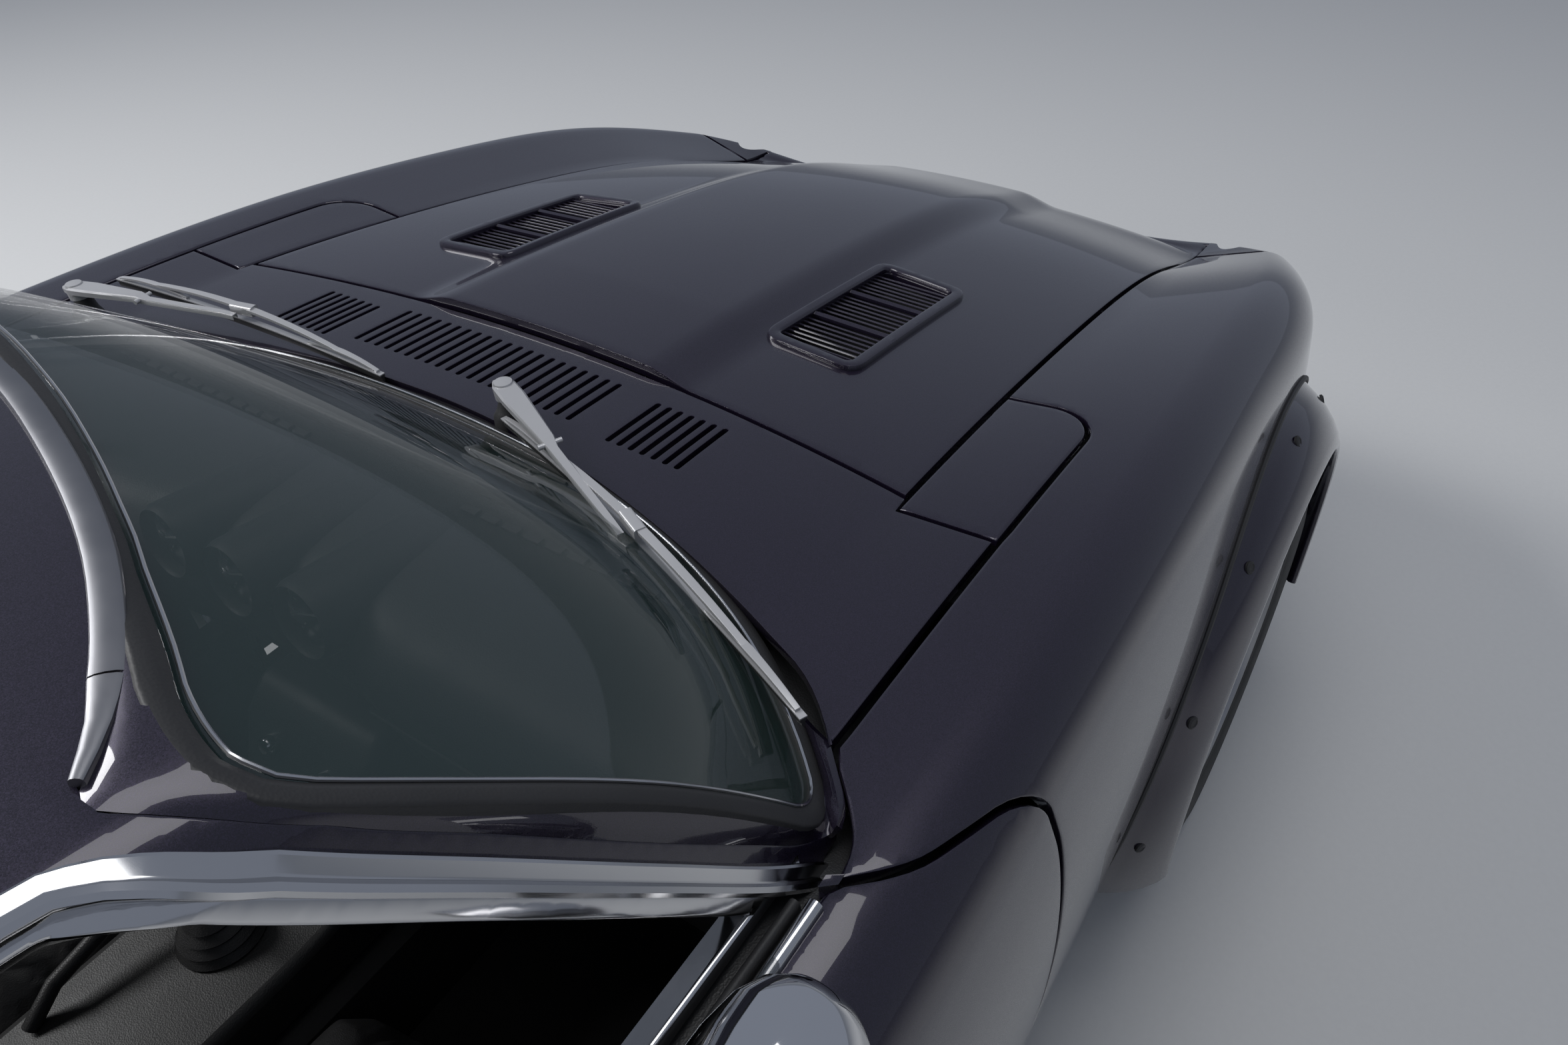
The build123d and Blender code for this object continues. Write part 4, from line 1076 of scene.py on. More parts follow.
def build_cowl():
    front = [(ahead(-511) - 0.043 * (y / 0.53)**2, y) for y in np.linspace(-0.5325, 0.5325, 60)]
    left = [(ahead(-577.5), 0.5345), (ahead(-577.5), 0.637)]
    rear = [(ahead(-676) - 0.4 * y * y - 0.020 * max(0, (abs(y) - 0.56) / 0.067)**2, y)
        for y in np.linspace(0.637, -0.637, 90)]
    right = [(x, -y) for x, y in left[::-1]]
    cowl = panel("cowl_skin", lower_surface, on_top(dense(front + left + rear + right, 0.012)), cowl_slots(),
        0.010, 0.0012, 0.012)
    finish(cowl, "paint", "cowl_panel")
    # Painted shade: a matt black sheet under the slots, so that they look dark
    tray = panel("cowl_tray", raised(lower_surface, -0.035), on_top(dense([(ahead(-530), -0.5),
        (ahead(-530), 0.5), (ahead(-668), 0.5), (ahead(-668), -0.5)], 0.04)), (), 0.004, 0.001, 0.05)
    finish(tray, "matt_black")


def slat_piece(depth, thick, tilt, y0, y1, drop):
    """A louvre at the origin of x and z, running from y0 to y1."""
    half, edge = depth / 2, thick / 2
    profile = [(-half, -edge), (-half + thick, -thick * 0.9), (half, -edge), (half, edge),
        (-half + thick, thick * 0.9), (-half, edge)]
    c, s = cos(tilt), sin(tilt)
    loop = [(c * a - s * b, s * a + c * b) for a, b in profile]
    return loft("slat", [[(a, y0, b) for a, b in loop], [(a, y1, b - drop) for a, b in loop]])


def build_vents():
    frames, slats, dark = [], [], []

    def height(x, y):
        return float(bonnet_surface(np.array(on_top([(x, y)])))[0, 2])

    first, last = ahead(-334), ahead(-86)
    start = height(first, 0.236)
    drop = height(ahead(-200), 0.236) - height(ahead(-200), 0.346)
    pitch = (last - first) / 22
    slope = (height(last, 0.29) - height(first, 0.29)) / (last - first)
    group = (8 * pitch, 0, slope * 8 * pitch)
    for side in (1, -1):
        ring, hole = vent_outline(VENT_RING, side, 0.028), vent_outline(VENT, side, 0.010)
        frames.append(panel("ring", raised(bonnet_surface, 0.0075), ring, [hole], 0.0085, 0.0042, 0.010))
        # Painted shade: matt black walls and a tray under each vent, so that it looks dark behind the louvres
        dark.append(panel("wall", raised(bonnet_surface, -0.012), ring, [hole], 0.024, 0.001, 0.03))
        dark.append(panel("tray", raised(bonnet_surface, -0.034), ring, (), 0.003, 0.001, 0.03))
        slat = slat_piece(0.0100, 0.0016, radians(-32), side * 0.232, side * 0.350, drop)
        slats.append(repeated("slats", slat, "paint", 7, (pitch, 0, slope * pitch), 3, group,
            (first, 0, start - 0.0015)))
        bar = slat_piece(0.0075, 0.0050, 0, side * 0.232, side * 0.350, drop)
        slats.append(repeated("bars", bar, "paint", 1, (0, 0, 0), 2, group,
            (first + 7 * pitch, 0, start + slope * 7 * pitch + 0.0005)))
    finish(joined("vent_frames", frames), "paint", "bonnet_vents", "bonnet_lid")
    finish(joined("vent_louvres", slats), "paint", (), "bonnet_lid", sharp=30)
    finish(joined("vent_boxes", dark), "matt_black", (), "bonnet_lid")


# ---- Greenhouse

def bend(p, q, r, n):
    """A rounded corner from p by way of q to r."""
    p, q, r = (np.array(v, float) for v in (p, q, r))
    return [(1 - t)**2 * p + 2 * t * (1 - t) * q + t * t * r for t in np.linspace(0, 1, n)]


def glass_half():
    """The left half of the windscreen's edge in space, from the base's middle to the header's middle."""
    def real(rows):
        return [(ahead(x), y / 1000, z / 1000) for x, y, z in rows]

    base, side, header = real(GLASS_BASE[::-1]), real(GLASS_SIDE[::-1]), real(GLASS_HEADER[::-1])
    low = bend(base[-1], (ahead(-914), 0.661, 0.912), side[0], 7)
    high = bend(side[-1], (ahead(-1227), 0.524, 1.211), header[0], 7)
    return curve(base, 0.02)[:-1] + low[:-1] + curve(side, 0.02)[:-1] + high[:-1] + curve(header, 0.02)


def screen_loop(grow=0.0):
    """The windscreen's edge over (y, z), anticlockwise from below on the right."""
    half = [(p[1], p[2]) for p in glass_half()]
    loop = half + [(-y, z) for y, z in half[::-1][1:-1]]
    return grown(loop, grow)


# Side lines of the greenhouse on its surface: millimetres ahead of the front axle and place round the girth
RAIL_LINE = [(-941, 0.928), (-994, 0.872), (-1063, 0.788), (-1144, 0.691), (-1205, 0.621), (-1234, 0.586),
    (-1258, 0.553), (-1277, 0.534), (-1300, 0.527), (-1400, 0.525), (-1600, 0.524), (-1800, 0.524),
    (-1950, 0.526), (-2080, 0.532)]
FOLD_LINE = [(-1255, 0.489), (-1228, 0.542), (-1191, 0.603), (-1130, 0.673), (-1048, 0.771), (-985, 0.845),
    (-954, 0.881), (-918, 0.908)]
HEADER_LINE = [(-1092.5, 0.0), (-1094, 0.07), (-1099, 0.135), (-1108, 0.20), (-1117, 0.245), (-1130, 0.295),
    (-1142, 0.335), (-1154, 0.37), (-1167, 0.402), (-1183, 0.434), (-1203, 0.468), (-1226, 0.499),
    (-1249, 0.521)]


PILLAR_FOOT = [(-926, 0.6805, 0.913), (-912, 0.6755, 0.914), (-897, 0.6625, 0.9135), (-879, 0.645, 0.9125),
    (-862, 0.630, 0.912)]


def side_line(rows, shift=0.0):
    """Domain points along a line, moved down by shift."""
    return moved(curve([(ahead(x), u * GIRTH) for x, u in rows], 0.012), shift, 1)


DOOR_TOP = ahead(-1692)


def frame_outline(shift):
    """The door frame's outside below the rail, from its front foot over the top and down its rear leg."""
    line = [p for p in side_line(RAIL_LINE, shift) if ahead(-966) > p[0] > DOOR_TOP]
    foot = on_side([(ahead(-966), 0.917)], house_section)
    rear = [(DOOR_TOP - 0.045 * t - (0.012 - shift), line[-1][1] + (on_side([(ahead(-1737), 0.917)],
        house_section)[0][1] - line[-1][1]) * t) for t in np.linspace(0.04, 1, 14)]
    return foot + line + rear


def window_outline(shift):
    """The glass opening of the door frame."""
    line = [p for p in side_line(RAIL_LINE, shift) if ahead(-1012) > p[0] > DOOR_TOP + 0.022]
    foot = on_side([(ahead(-1012), 0.922)], house_section)
    low = on_side([(x, 0.922) for x in np.linspace(DOOR_TOP - 0.026, ahead(-1012), 30)], house_section)
    return rounded(line[::2] + low[:-1] + foot, 0.012, 4)


def hatch_half(x, grow=0.0):
    """The tailgate's half width at x."""
    t = (x - by_rear(320)) / (by_rear(-735) - by_rear(320))
    return 0.470 + 0.035 * t + grow


def house_top(points):
    """Domain points for plan points on the greenhouse."""
    return on_top(points, house_section)


def quarter_window(grow=0.0):
    """The rear side window's edge in side view."""
    points = rounded([(by_rear(x), z / 1000) for x, z in QUARTER_WINDOW], 0.035, 6)
    return grown(dense(points, 0.015), grow)


def greenhouse_outline():
    """Header, pillar fold, door opening, waist and tailgate opening, then the same on the right."""
    half = house_top(curve([(ahead(x), y) for x, y in HEADER_LINE], 0.012))
    half += side_line(FOLD_LINE)[1:]
    half += on_side([(x, 0.893) for x in np.linspace(ahead(-921), ahead(-938), 4)], house_section)
    half += [p for p in side_line(RAIL_LINE, 0.005) if p[0] > DOOR_TOP - 0.004]
    last = half[-1]
    foot = on_side([(ahead(-1747), 0.915)], house_section)[0]
    half += [(last[0] - 0.008 - 0.047 * t, last[1] + (foot[1] - last[1]) * t)
        for t in np.linspace(0.04, 1, 14)]
    rear_x = np.linspace(ahead(-1762), by_rear(-655), 40)
    half += on_side([(x, 0.915) for x in rear_x], house_section)
    side = np.linspace(by_rear(-655), by_rear(325), 50)
    half += house_top([(x, hatch_half(x, 0.0055)) for x in side])
    half += [(by_rear(325.5), s) for s in np.linspace(half[-1][1], 0, 20)[1:]]
    other = [(x, -s) for x, s in half[::-1][1:-1]]
    return half + other


def band(name, edge_a, edge_b, fold=0.0, thick=0.006):
    """A closed strip of sheet between two lines in space, its middle pushed out by fold."""
    a, b = np.array(edge_a), np.array(edge_b)
    normal = np.cross(np.gradient((a + b) / 2, axis=0), b - a)
    normal /= np.linalg.norm(normal, axis=1)[:, None]
    normal[normal[:, 2] < 0] *= -1
    outer = [a + (b - a) * t + normal * fold * np.sin(pi * t) for t in np.linspace(0, 1, 7)]
    inner = [r - normal * thick for r in outer[::-1]]
    return loft(name, [[r[i] for r in outer + inner] for i in range(len(a))])


def resampled(points, n):
    """A line as n evenly spaced points."""
    p = np.array(points, float)
    run = np.concatenate([[0], np.cumsum(np.linalg.norm(np.diff(p, axis=0), axis=1))])
    t = np.linspace(0, run[-1], n)
    return np.stack([np.interp(t, run, p[:, i]) for i in range(p.shape[1])], 1)


def build_greenhouse():
    hole = on_side(quarter_window(), house_section)
    holes = [hole, [(x, -s) for x, s in hole]]
    shell = panel("greenhouse_skin", house_surface, greenhouse_outline(), holes, 0.014, 0.0024, 0.014)
    finish(shell, "paint", ("roof_panel", "side_frames"))
    # The sheet round the screen: under the header moulding, then the pillar's face from the fold to the
    # seal, and its foot round the screen's lower corner
    header = house_surface(np.array(house_top(curve([(ahead(x), y) for x, y in HEADER_LINE], 0.012)))) - (0,
        0, 0.0008)
    fold = list(house_surface(np.array(side_line(FOLD_LINE)[:-1])) - (0, 0, 0.0008))
    fold += [(ahead(x), y, z) for x, y, z in PILLAR_FOOT]
    edge = np.array(glass_half())
    upper = edge[:, 2] > 1
    first = int(np.argmin(abs(edge[:, 0] - ahead(-850)) + 9 * upper))
    corner = int(np.argmin(abs(edge[:, 0] - ahead(-1222)) + 9 * ~upper))
    loop = np.array(screen_loop(0.009))[first:len(edge)][::-1]
    inner = raised(screen_surface, 0.0046)(loop)
    turn = len(edge) - 1 - corner
    sides = [np.concatenate([resampled(top, 40)[:-1], resampled(side, 60)])
        for top, side in ((header, fold), (inner[:turn + 1], inner[turn:]))]
    paired("screen_surrounds", [band("surround", *sides, 0.0014)], "paint", sharp=60)


def build_windscreen():
    glass = panel("windscreen_glass", raised(screen_surface, -0.001), screen_loop(0.003), (), 0.0055, 0.0012,
        0.02)
    finish(glass, "glass", "windscreen")
    seal = strip("windscreen_seal", screen_surface, screen_loop(0.004),
        pairs(-6.5, -8, 11, -8, 11, 3, 8.5, 4.8, 1, 5, -3, 3, -6.5, 1.8), True)
    finish(seal, "rubber", sharp=60)
    bead = strip("windscreen_bead", screen_surface, screen_loop(-0.0022),
        [(a, b + 0.0024) for a, b in oval(0.0014, 0.0014, 8)], True)
    finish(bead, "bright")
    line = np.array(house_top(curve([(ahead(x), y) for x, y in HEADER_LINE], 0.012)))
    reach = house_surface(line)[:, 1]
    seams = np.array([[np.interp(y, reach, line[:, k]) for k in (0, 1)] for y in (0.4775, 0.4786)])
    middle = np.concatenate([line[reach < 0.476], seams[:1]])
    end = np.concatenate([seams[1:], line[reach > 0.480]])
    profile = pairs(-8.2, -4, 8.2, -4, 8.2, 2.2, 7.2, 3.8, 4.5, 4.8, 0, 5.2, -4.5, 4.8, -7.2, 3.8, -8.2, 2.2)
    whole = np.concatenate([middle[::-1] * (1, -1), middle[1:]])
    parts = [sweep("header", house_surface(whole), normals_at(house_surface, whole), profile)]
    size = [(v, 1) for v in np.linspace(1, 0.3, len(end))**0.75]
    for d in (end, end * (1, -1)):
        parts.append(sweep("tip", house_surface(d), normals_at(house_surface, d), profile, taper=size))
    finish(joined("header_moulding", parts), "moulding", sharp=35)


def build_rails():
    """Drip rails over the door windows: a flat flange with a rounded bead along its foot."""
    outer = pairs(-9.5, -4, 9.5, -4, 9.5, 7.5, 8.5, 10, 5.5, 11.2, 2, 9.8, 0.8, 6.6, -0.6, 6, -8, 5.2, -9.5,
        3.6)
    line = np.array(side_line(RAIL_LINE))
    size = np.ones((len(line), 2))
    size[-8:] = [(v, v) for v in np.linspace(1, 0.25, 8)]
    size[:3] = pairs(500, 750, 850, 900, 970, 1000)
    rail = sweep("rail", house_surface(line), normals_at(house_surface, line), outer, taper=size)
    paired("drip_rails", [rail], "bright", sharp=30)


def build_door_skins():
    front, rear = door_front_line(), door_rear_line()
    top = on_top([(x, 0.700) for x in np.linspace(rear[-1][0], front[0][0], 60)])[1:-1]
    low = on_side([(x, DOOR_FOOT) for x in np.linspace(front[-1][0], rear[0][0], 60)])[1:-1]
    skin = panel("door", lower_surface, front + low + rear + top, (), 0.016, 0.0026, 0.014)
    both(skin, "door_skin", "paint", DOORS, ("door_left", "door_right"))
    outline = frame_outline(0.0105)
    bottom = on_side([(x, 0.917) for x in np.linspace(outline[-1][0], outline[0][0], 30)][1:-1],
        house_section)
    frame = panel("frame", raised(house_surface, 0.0012), outline + bottom, [window_outline(0.028)], 0.020,
        0.004, 0.012)
    both(frame, "door_window_frame", "bright", DOORS)
    core = []
    for x in np.linspace(ahead(-790), ahead(-1738), 40):
        d = (x - FRONT_X) * 1000
        high = float(np.interp(d, [-972, -900, -850, -810, -790], [0.900, 0.880, 0.850, 0.790, 0.72]))
        outer = [(side_y(x, z) - 0.018, z) for z in np.linspace(0.262, min(high, 0.86), 7)]
        inner_y = float(np.interp(d, [-1738, -1700, -800, -790], [0.690, 0.657, 0.657, 0.690]))
        top = [(min(outer[-1][0], 0.752), high), (inner_y + 0.006, high), (inner_y, high - 0.006)]
        core.append([(x, y, z) for y, z in [(inner_y, 0.262)] + outer + top])
    both(loft("core", core), "door_lining", "vinyl", DOORS, sharp=50)
    rail = [(x, 0.7015, top_z(x, 0.70) + 0.0005) for x in np.linspace(ahead(-985), ahead(-1735), 50)]
    both(sweep("belt", rail, UP, hood(0.012, 0.007)), "door_belt_trim", "bright", DOORS)
    seals = [sweep("lip", [(x, y, top_z(x, 0.70) - 0.006) for x in np.linspace(ahead(-990), ahead(-1733),
        40)], UP, hood(0.010, 0.010)) for y in (0.688, 0.668)]
    both(joined("lips", seals), "door_window_lips", "rubber", DOORS)


FLARE = triples(436.5, 0, 0, 430, 100, 0, 421, 300, 0, 408, 540, 0, 392, 750, 0, 375, 910, 0, 363, 985, 0,
    356, 1000, 0, 351.5, 1000, -1.5, 350, 1000, -6, 351, 1000, -12, 356, 1000, -16, 372, 850, -16, 392, 650,
    -16, 415, 300, -14, 434, 0, -10)


def flare_point(axle_x, angle, radius, share, back):
    """A point on a flare: share says how far it stands out from the body to the car's full width."""
    x, z = axle_x + radius * cos(angle), AXLE_Z + radius * sin(angle)
    body = side_y(axle_x + FLARE_ROOT * cos(angle), AXLE_Z + FLARE_ROOT * sin(angle))
    return x, body + (FULL_HALF - body) * share + back, z


def build_flares():
    shells, beads, screws = [], [], []
    for axle_x in (FRONT_X, REAR_X):
        angles = np.radians(np.linspace(-15.5, 195.5, 72))
        shells.append(loft("flare", [[flare_point(axle_x, a, *row) for row in FLARE] for a in angles]))
        path = [flare_point(axle_x, a, 0.4385, 0.0, 0.001) for a in angles]
        beads.append(sweep("bead", path, LEFT, oval(0.0042, 0.0042, 8)))
        for a in np.radians([4, 32, 60, 90, 120, 148, 176]):
            x, y, z = flare_point(axle_x, a, 0.414, 0.43, 0.0012)
            screws.append(turned("screw", pairs(0, -3, 8.5, -3, 8.5, 0, 6, 1.6, 4.5, 0.6, 0, 0.6), (x, y, z),
                (0.45 * cos(a), 0.9, 0.45 * sin(a)), 16))
    paired("wheel_arch_flares_dressed", shells, "paint", "wheel_arch_flares", sharp=50)
    paired("flare_seams", beads, "rubber")
    paired("flare_screws", screws, "matt_black", sharp=30)


def quarter_outline():
    """The left half of the rear body: deck, door gap, sill, arch and tail, from middle to middle."""
    inner = on_top(list(zip(np.linspace(by_rear(-740.5), by_rear(-560), 12),
        np.linspace(0.5105, 0.5045, 12))))
    inner += on_top([(x, 0.52) for x in np.linspace(by_rear(-500), ahead(-1752), 50)])
    rear = door_rear_line(0.007)[::-1]
    inner += [(rear[0][0], s) for s in np.linspace(inner[-1][1], rear[0][1], 14)[1:-1]]
    low = [(x, GIRTH) for x in np.linspace(ahead(-1782), REAR_X + 0.36, 20)]
    back = [(x, GIRTH) for x in np.linspace(REAR_X - 0.36, by_rear(-871), 30)]
    tail = [(by_rear(-871), s) for s in np.linspace(GIRTH, 0, 70)][1:]
    deck = [(by_rear(-740.5), s) for s in np.linspace(0, inner[0][1], 30)[:-1]]
    return deck + inner + rear + low + arch_line(REAR_X, ARCH_CUT) + back + tail


def build_quarters():
    half = quarter_outline()[:-1]
    hole = on_side(dense(oblong(by_rear(-425), by_rear(-265), 0.730, 0.870, 0.016), 0.015))
    # One loop: the left half from the deck's middle to the tail's middle, then the right half back
    loop = half + [(half[-1][0], 0.0)] + [(x, -s) for x, s in half[:0:-1]]
    skin = panel("rear_quarter_skin", lower_surface, loop, [[(x, -s) for x, s in hole]], 0.014, 0.0024, 0.015)
    finish(skin, "paint", "rear_quarters")
    door = oblong(by_rear(-420), by_rear(-270), 0.735, 0.865, 0.012)
    flap = panel("flap", lower_surface, on_side(dense(door, 0.015)), (), 0.0078, 0.002, 0.012)
    finish(joined("filler_door_skin", [mirrored(flap, "flap_right")]), "paint", "fuel_filler_door",
        "filler_door")
    bpy.data.objects.remove(flap)


def build_tailgate():
    xs = np.linspace(by_rear(320), by_rear(-735), 70)
    loop = [(x, float(hatch_half(x))) for x in xs] + [(x, -float(hatch_half(x))) for x in xs[::-1]]
    corners = [(by_rear(225), 0.395), (by_rear(-520), 0.440), (by_rear(-520), -0.440), (by_rear(225), -0.395)]
    window = rounded(corners, 0.05, 7)
    hole = house_top(dense(window, 0.014))
    gate = panel("tailgate_skin", house_surface, house_top(dense(loop, 0.014)), [hole], 0.016, 0.0026, 0.015)
    finish(gate, "paint", "tailgate", "liftgate")
    glass = panel("tailgate_pane", raised(house_surface, -0.003), house_top(dense(window, 0.014)), (), 0.005,
        0.001, 0.025)
    finish(glass, "side_glass", "tailgate_glass", "liftgate")
    seal = strip("tailgate_seal", house_surface, house_top(dense(window, 0.02)),
        pairs(-11, -4, 10, -4, 10, 2, 0, 4.5, -11, 1), True)
    finish(seal, "rubber", (), "liftgate")
    pane = panel("pane", raised(house_surface, -0.003), on_side(quarter_window(0.003), house_section), (),
        0.005, 0.001, 0.02)
    paired("quarter_window_panes", [pane], "side_glass", "quarter_windows")
    trim = strip("trim", house_surface, on_side(quarter_window(), house_section), hood(0.014, 0.0055), True)
    paired("quarter_window_trims", [trim], "bright")


# ---- Wheels

WHEELS = [("front_left", FRONT_X, 1), ("front_right", FRONT_X, -1), ("rear_left", REAR_X, 1),
    ("rear_right", REAR_X, -1)]
# Half of a tyre's outline: radius and distance from its middle plane
TYRE_SIDE = pairs(191.5, 83, 196, 95.5, 203, 98.5, 209, 97.5, 215, 100.5, 232, 103.5, 250, 103.8, 253.5,
    104.6, 256.5, 103.4, 272, 101.5, 287, 96.5, 296.5, 89, 301.5, 80, 303, 66)
RIM_SECTION = pairs(191.5, -95, 198.5, -96.5, 198.5, -92, 189, -89, 187, -60, 176, -45, 172, 30, 183, 48,
    187, 70, 189, 88, 198.5, 90.5, 199, 95.5, 192.5, 96, 184.5, 89, 179, 60, 168, 34, 166, 10, 169, -45, 182,
    -70, 183, -90)


def build_tyre(centre, side, blocks):
    outline = TYRE_SIDE + [(0.3035, 0.0)] + [(r, -y) for r, y in TYRE_SIDE[::-1]]
    parts = [turned("carcass", outline, centre, (0, side, 0), 96)]
    half = tau / blocks * 0.40
    for y0, y1, shift in ((0.058, 0.083, 0), (0.024, 0.052, 0.5), (-0.013, 0.013, 0), (-0.052, -0.024, 0.5),
            (-0.083, -0.058, 0)):
        rings = []
        for y in (y0, y1):
            r = {0.083: 0.3030, 0.058: 0.3092}.get(abs(y), 0.3099)
            slant = 0.25 * half * (1 if y > 0 else -1)
            rings.append([(q * sin(a + shift * tau / blocks + slant), y,
                q * cos(a + shift * tau / blocks + slant)) for q, a in ((0.300, -half), (r, -half * 0.93),
                (r, half * 0.93), (0.300, half))])
        parts.append(repeated("blocks", loft("block", rings), "tyre", blocks, start=centre,
            turn=(0, tau / blocks, 0)))
    return joined("tyre", parts)


def build_rim(centre, side):
    outer = 0.040
    parts = [turned("barrel", RIM_SECTION, centre, (0, side, 0), 96)]
    hub = [(0.023, outer - 0.030), (0.023, outer + 0.006), (0.052, outer + 0.004), (0.060, outer),
        (0.066, outer - 0.012), (0.062, outer - 0.026)]
    parts.append(turned("hub", hub, centre, (0, side, 0), 64))
    rows = []
    for r, half, front, back in ((0.050, 0.015, outer + 0.003, outer - 0.022),
            (0.080, 0.0125, outer + 0.001, outer - 0.022), (0.120, 0.0125, outer - 0.001, outer - 0.021),
            (0.155, 0.016, outer + 0.004, outer - 0.016), (0.177, 0.022, outer + 0.018, outer - 0.006)):
        section = [(-half, back), (half, back), (half + 0.003, (front + back) / 2),
            (half - 0.002, front - 0.003), (half - 0.006, front), (-half + 0.006, front),
            (-half + 0.002, front - 0.003), (-half - 0.003, (front + back) / 2)]
        rows.append([(w, y * side, r) for w, y in section])
    spoke = loft("spoke", rows)
    parts.append(repeated("spokes", spoke, "alloy", 8, start=centre, turn=(0, tau / 8, 0)))
    rim = joined("rim", parts)
    nuts = turned("nut", [(0, outer), (0, outer + 0.016), (0.004, outer + 0.0165), (0.0085, outer + 0.012),
        (0.0095, outer)], (0, 0, 0), (0, side, 0), 12)
    for v in nuts.data.vertices:
        v.co.x += 0.038
    nuts = repeated("nuts", nuts, "chrome", 4, start=centre, turn=(0, tau / 4, 0))
    cap = turned("cap", [(0, outer + 0.001), (0, outer + 0.017), (0.012, outer + 0.0165),
        (0.021, outer + 0.013), (0.025, outer + 0.006), (0.026, outer + 0.001)], centre, (0, side, 0), 48)
    return rim, joined("cap", [cap, nuts])


def build_wheels(blocks):
    for name, x, side in WHEELS:
        centre = (x, side * TRACK_Y, AXLE_Z)
        axle, hand = name.split("_")
        body = f"{axle}_{hand}_wheel"
        tyre = build_tyre(centre, side, blocks)
        tyre.name = "treaded_tyre_" + name
        finish(tyre, "tyre", "tyre_" + name, body, sharp=34)
        rim, cap = build_rim(centre, side)
        rim.name, cap.name = "spoked_rim_" + name, "hub_cap_" + name
        finish(rim, "alloy", "rim_" + name, body, sharp=30, bevel=0.0012)
        finish(cap, "chrome", (), body, sharp=30)
        disc = pairs(34, -30, 34, -6, 60, -6, 64, -16, 128, -16, 128, -28, 60, -30)
        brake = turned("brake_disc_" + name, disc, centre, (0, side, 0), 64)
        finish(brake, "steel", (), f"{hand}_knuckle" if axle == "front" else "car_body", sharp=30)


# ---- Bumpers, grille and lamps

def bumper_path(middle, end, half, z):
    """Points on the arc through both ends and the middle."""
    sag = abs(middle - end)
    r = (half * half + sag * sag) / (2 * sag)
    way = 1 if middle > end else -1
    a = np.linspace(-np.arcsin(half / r), np.arcsin(half / r), 61)
    return [(middle - way * r + way * r * cos(t), r * sin(t), z) for t in a]


def blade(depth, tall, thick):
    """A pressed bumper blade's section, (outwards, upwards), with its edges turned in."""
    h = tall / 2
    outer = [(0.000, -h + 0.008), (0.0045, -h * 0.62), (0.006, -h * 0.2), (0.006, h * 0.2),
        (0.0045, h * 0.62), (0.000, h - 0.008)]
    top = [(-0.006, h - 0.001), (-depth, h), (-depth, h - thick), (-0.007, h - thick - 0.002)]
    inner = [(-0.004, h - 0.011), (0.002, 0.0), (-0.004, -h + 0.011)]
    low = [(-0.007, -h + thick + 0.002), (-depth, -h + thick), (-depth, -h), (-0.006, -h + 0.001)]
    return outer + top + inner + low


def build_bumpers():
    for end, middle, tip, half, z, way, foot in (("front", ahead(815), ahead(752), 0.620, 0.497, 1,
            ahead(690)), ("rear", by_rear(-995), by_rear(-940), 0.700, 0.545, -1, by_rear(-880))):
        path = [(x - way * 0.007, y, z) for x, y, z in bumper_path(middle, tip, half, z)]
        xs, ys, _ = zip(*path)
        chrome = [sweep("bar", path, UP, [(way * a, b) for a, b in blade(0.024, 0.090, 0.0035)])]
        arms = []
        for y in (0.4, -0.4):
            x = float(np.interp(y, ys, xs)) - way * 0.002
            arms.append(sweep("bracket", [(foot, y, z), (x - way * 0.03, y, z), (x, y, z)], UP,
                rounded(rect(0.036, 0.044, -0.022), 0.006, 4)))
        for y in (-0.46, 0.46):
            x = float(np.interp(y, ys, xs)) + way * 0.0062
            chrome.append(turned("bolt", pairs(0, 0, 13, 0, 12.5, 2.5, 9, 4.5, 0, 5), (x, y, z), (way, 0, 0),
                24))
        finish(joined(end + "_bumper_blade", chrome), "chrome", end + "_bumper", sharp=40)
        finish(joined(end + "_bumper_brackets", arms), "matt_black", sharp=40)
        pad = sweep(end + "_bumper_strip", [(x + way * 0.0062, y, z) for x, y, z in path][3:-3], (way, 0, 0),
            hood(0.030, 0.0075))
        finish(pad, "rubber")


def rod(name, x, section, places, upright=False):
    """A thin bar across the car, or upright, through places along it."""
    return loft(name, [[(x + a, b, at) if upright else (x + a, at, b) for a, b in section] for at in places])


def build_grille():
    heights, wire = (0.370, 0.46, 0.550), oval(0.0012, 0.0012, 6)
    bar = rod("bar", ahead(717), oval(0.0055, 0.0042, 10), np.linspace(-0.359, 0.359, 13))
    bars = repeated("bars", bar, "moulding", 7, (0, 0, 0.176 / 7), start=(0, 0, 0.372 + 0.088 / 7))
    finish(joined("grille_bars", [bars]), "moulding", "grille", sharp=30)
    posts = repeated("posts", rod("post", ahead(706), oval(0.005, 0.006, 8), heights, True), "matt_black", 3,
        (0, 0.24, 0), start=(0, -0.24, 0))
    across = repeated("wires", rod("wire", ahead(684), wire, (-0.36, 0, 0.36)), "matt_black", 20,
        (0, 0, 0.009), start=(0, 0, 0.374))
    upright = repeated("wires", rod("wire", ahead(684), wire, heights, True), "matt_black", 72,
        (0, 0.010, 0), start=(0, -0.355, 0))
    finish(joined("grille_supports", [posts, across, upright]), "matt_black", sharp=30)
    line = [(ahead(727), y, z) for y, z in dense(oblong(-0.362, 0.362, 0.370, 0.550, 0.012), 0.03)]
    finish(sweep("grille_surround", line, FORWARD, oval(0.006, 0.007, 8), True), "bright", sharp=30)


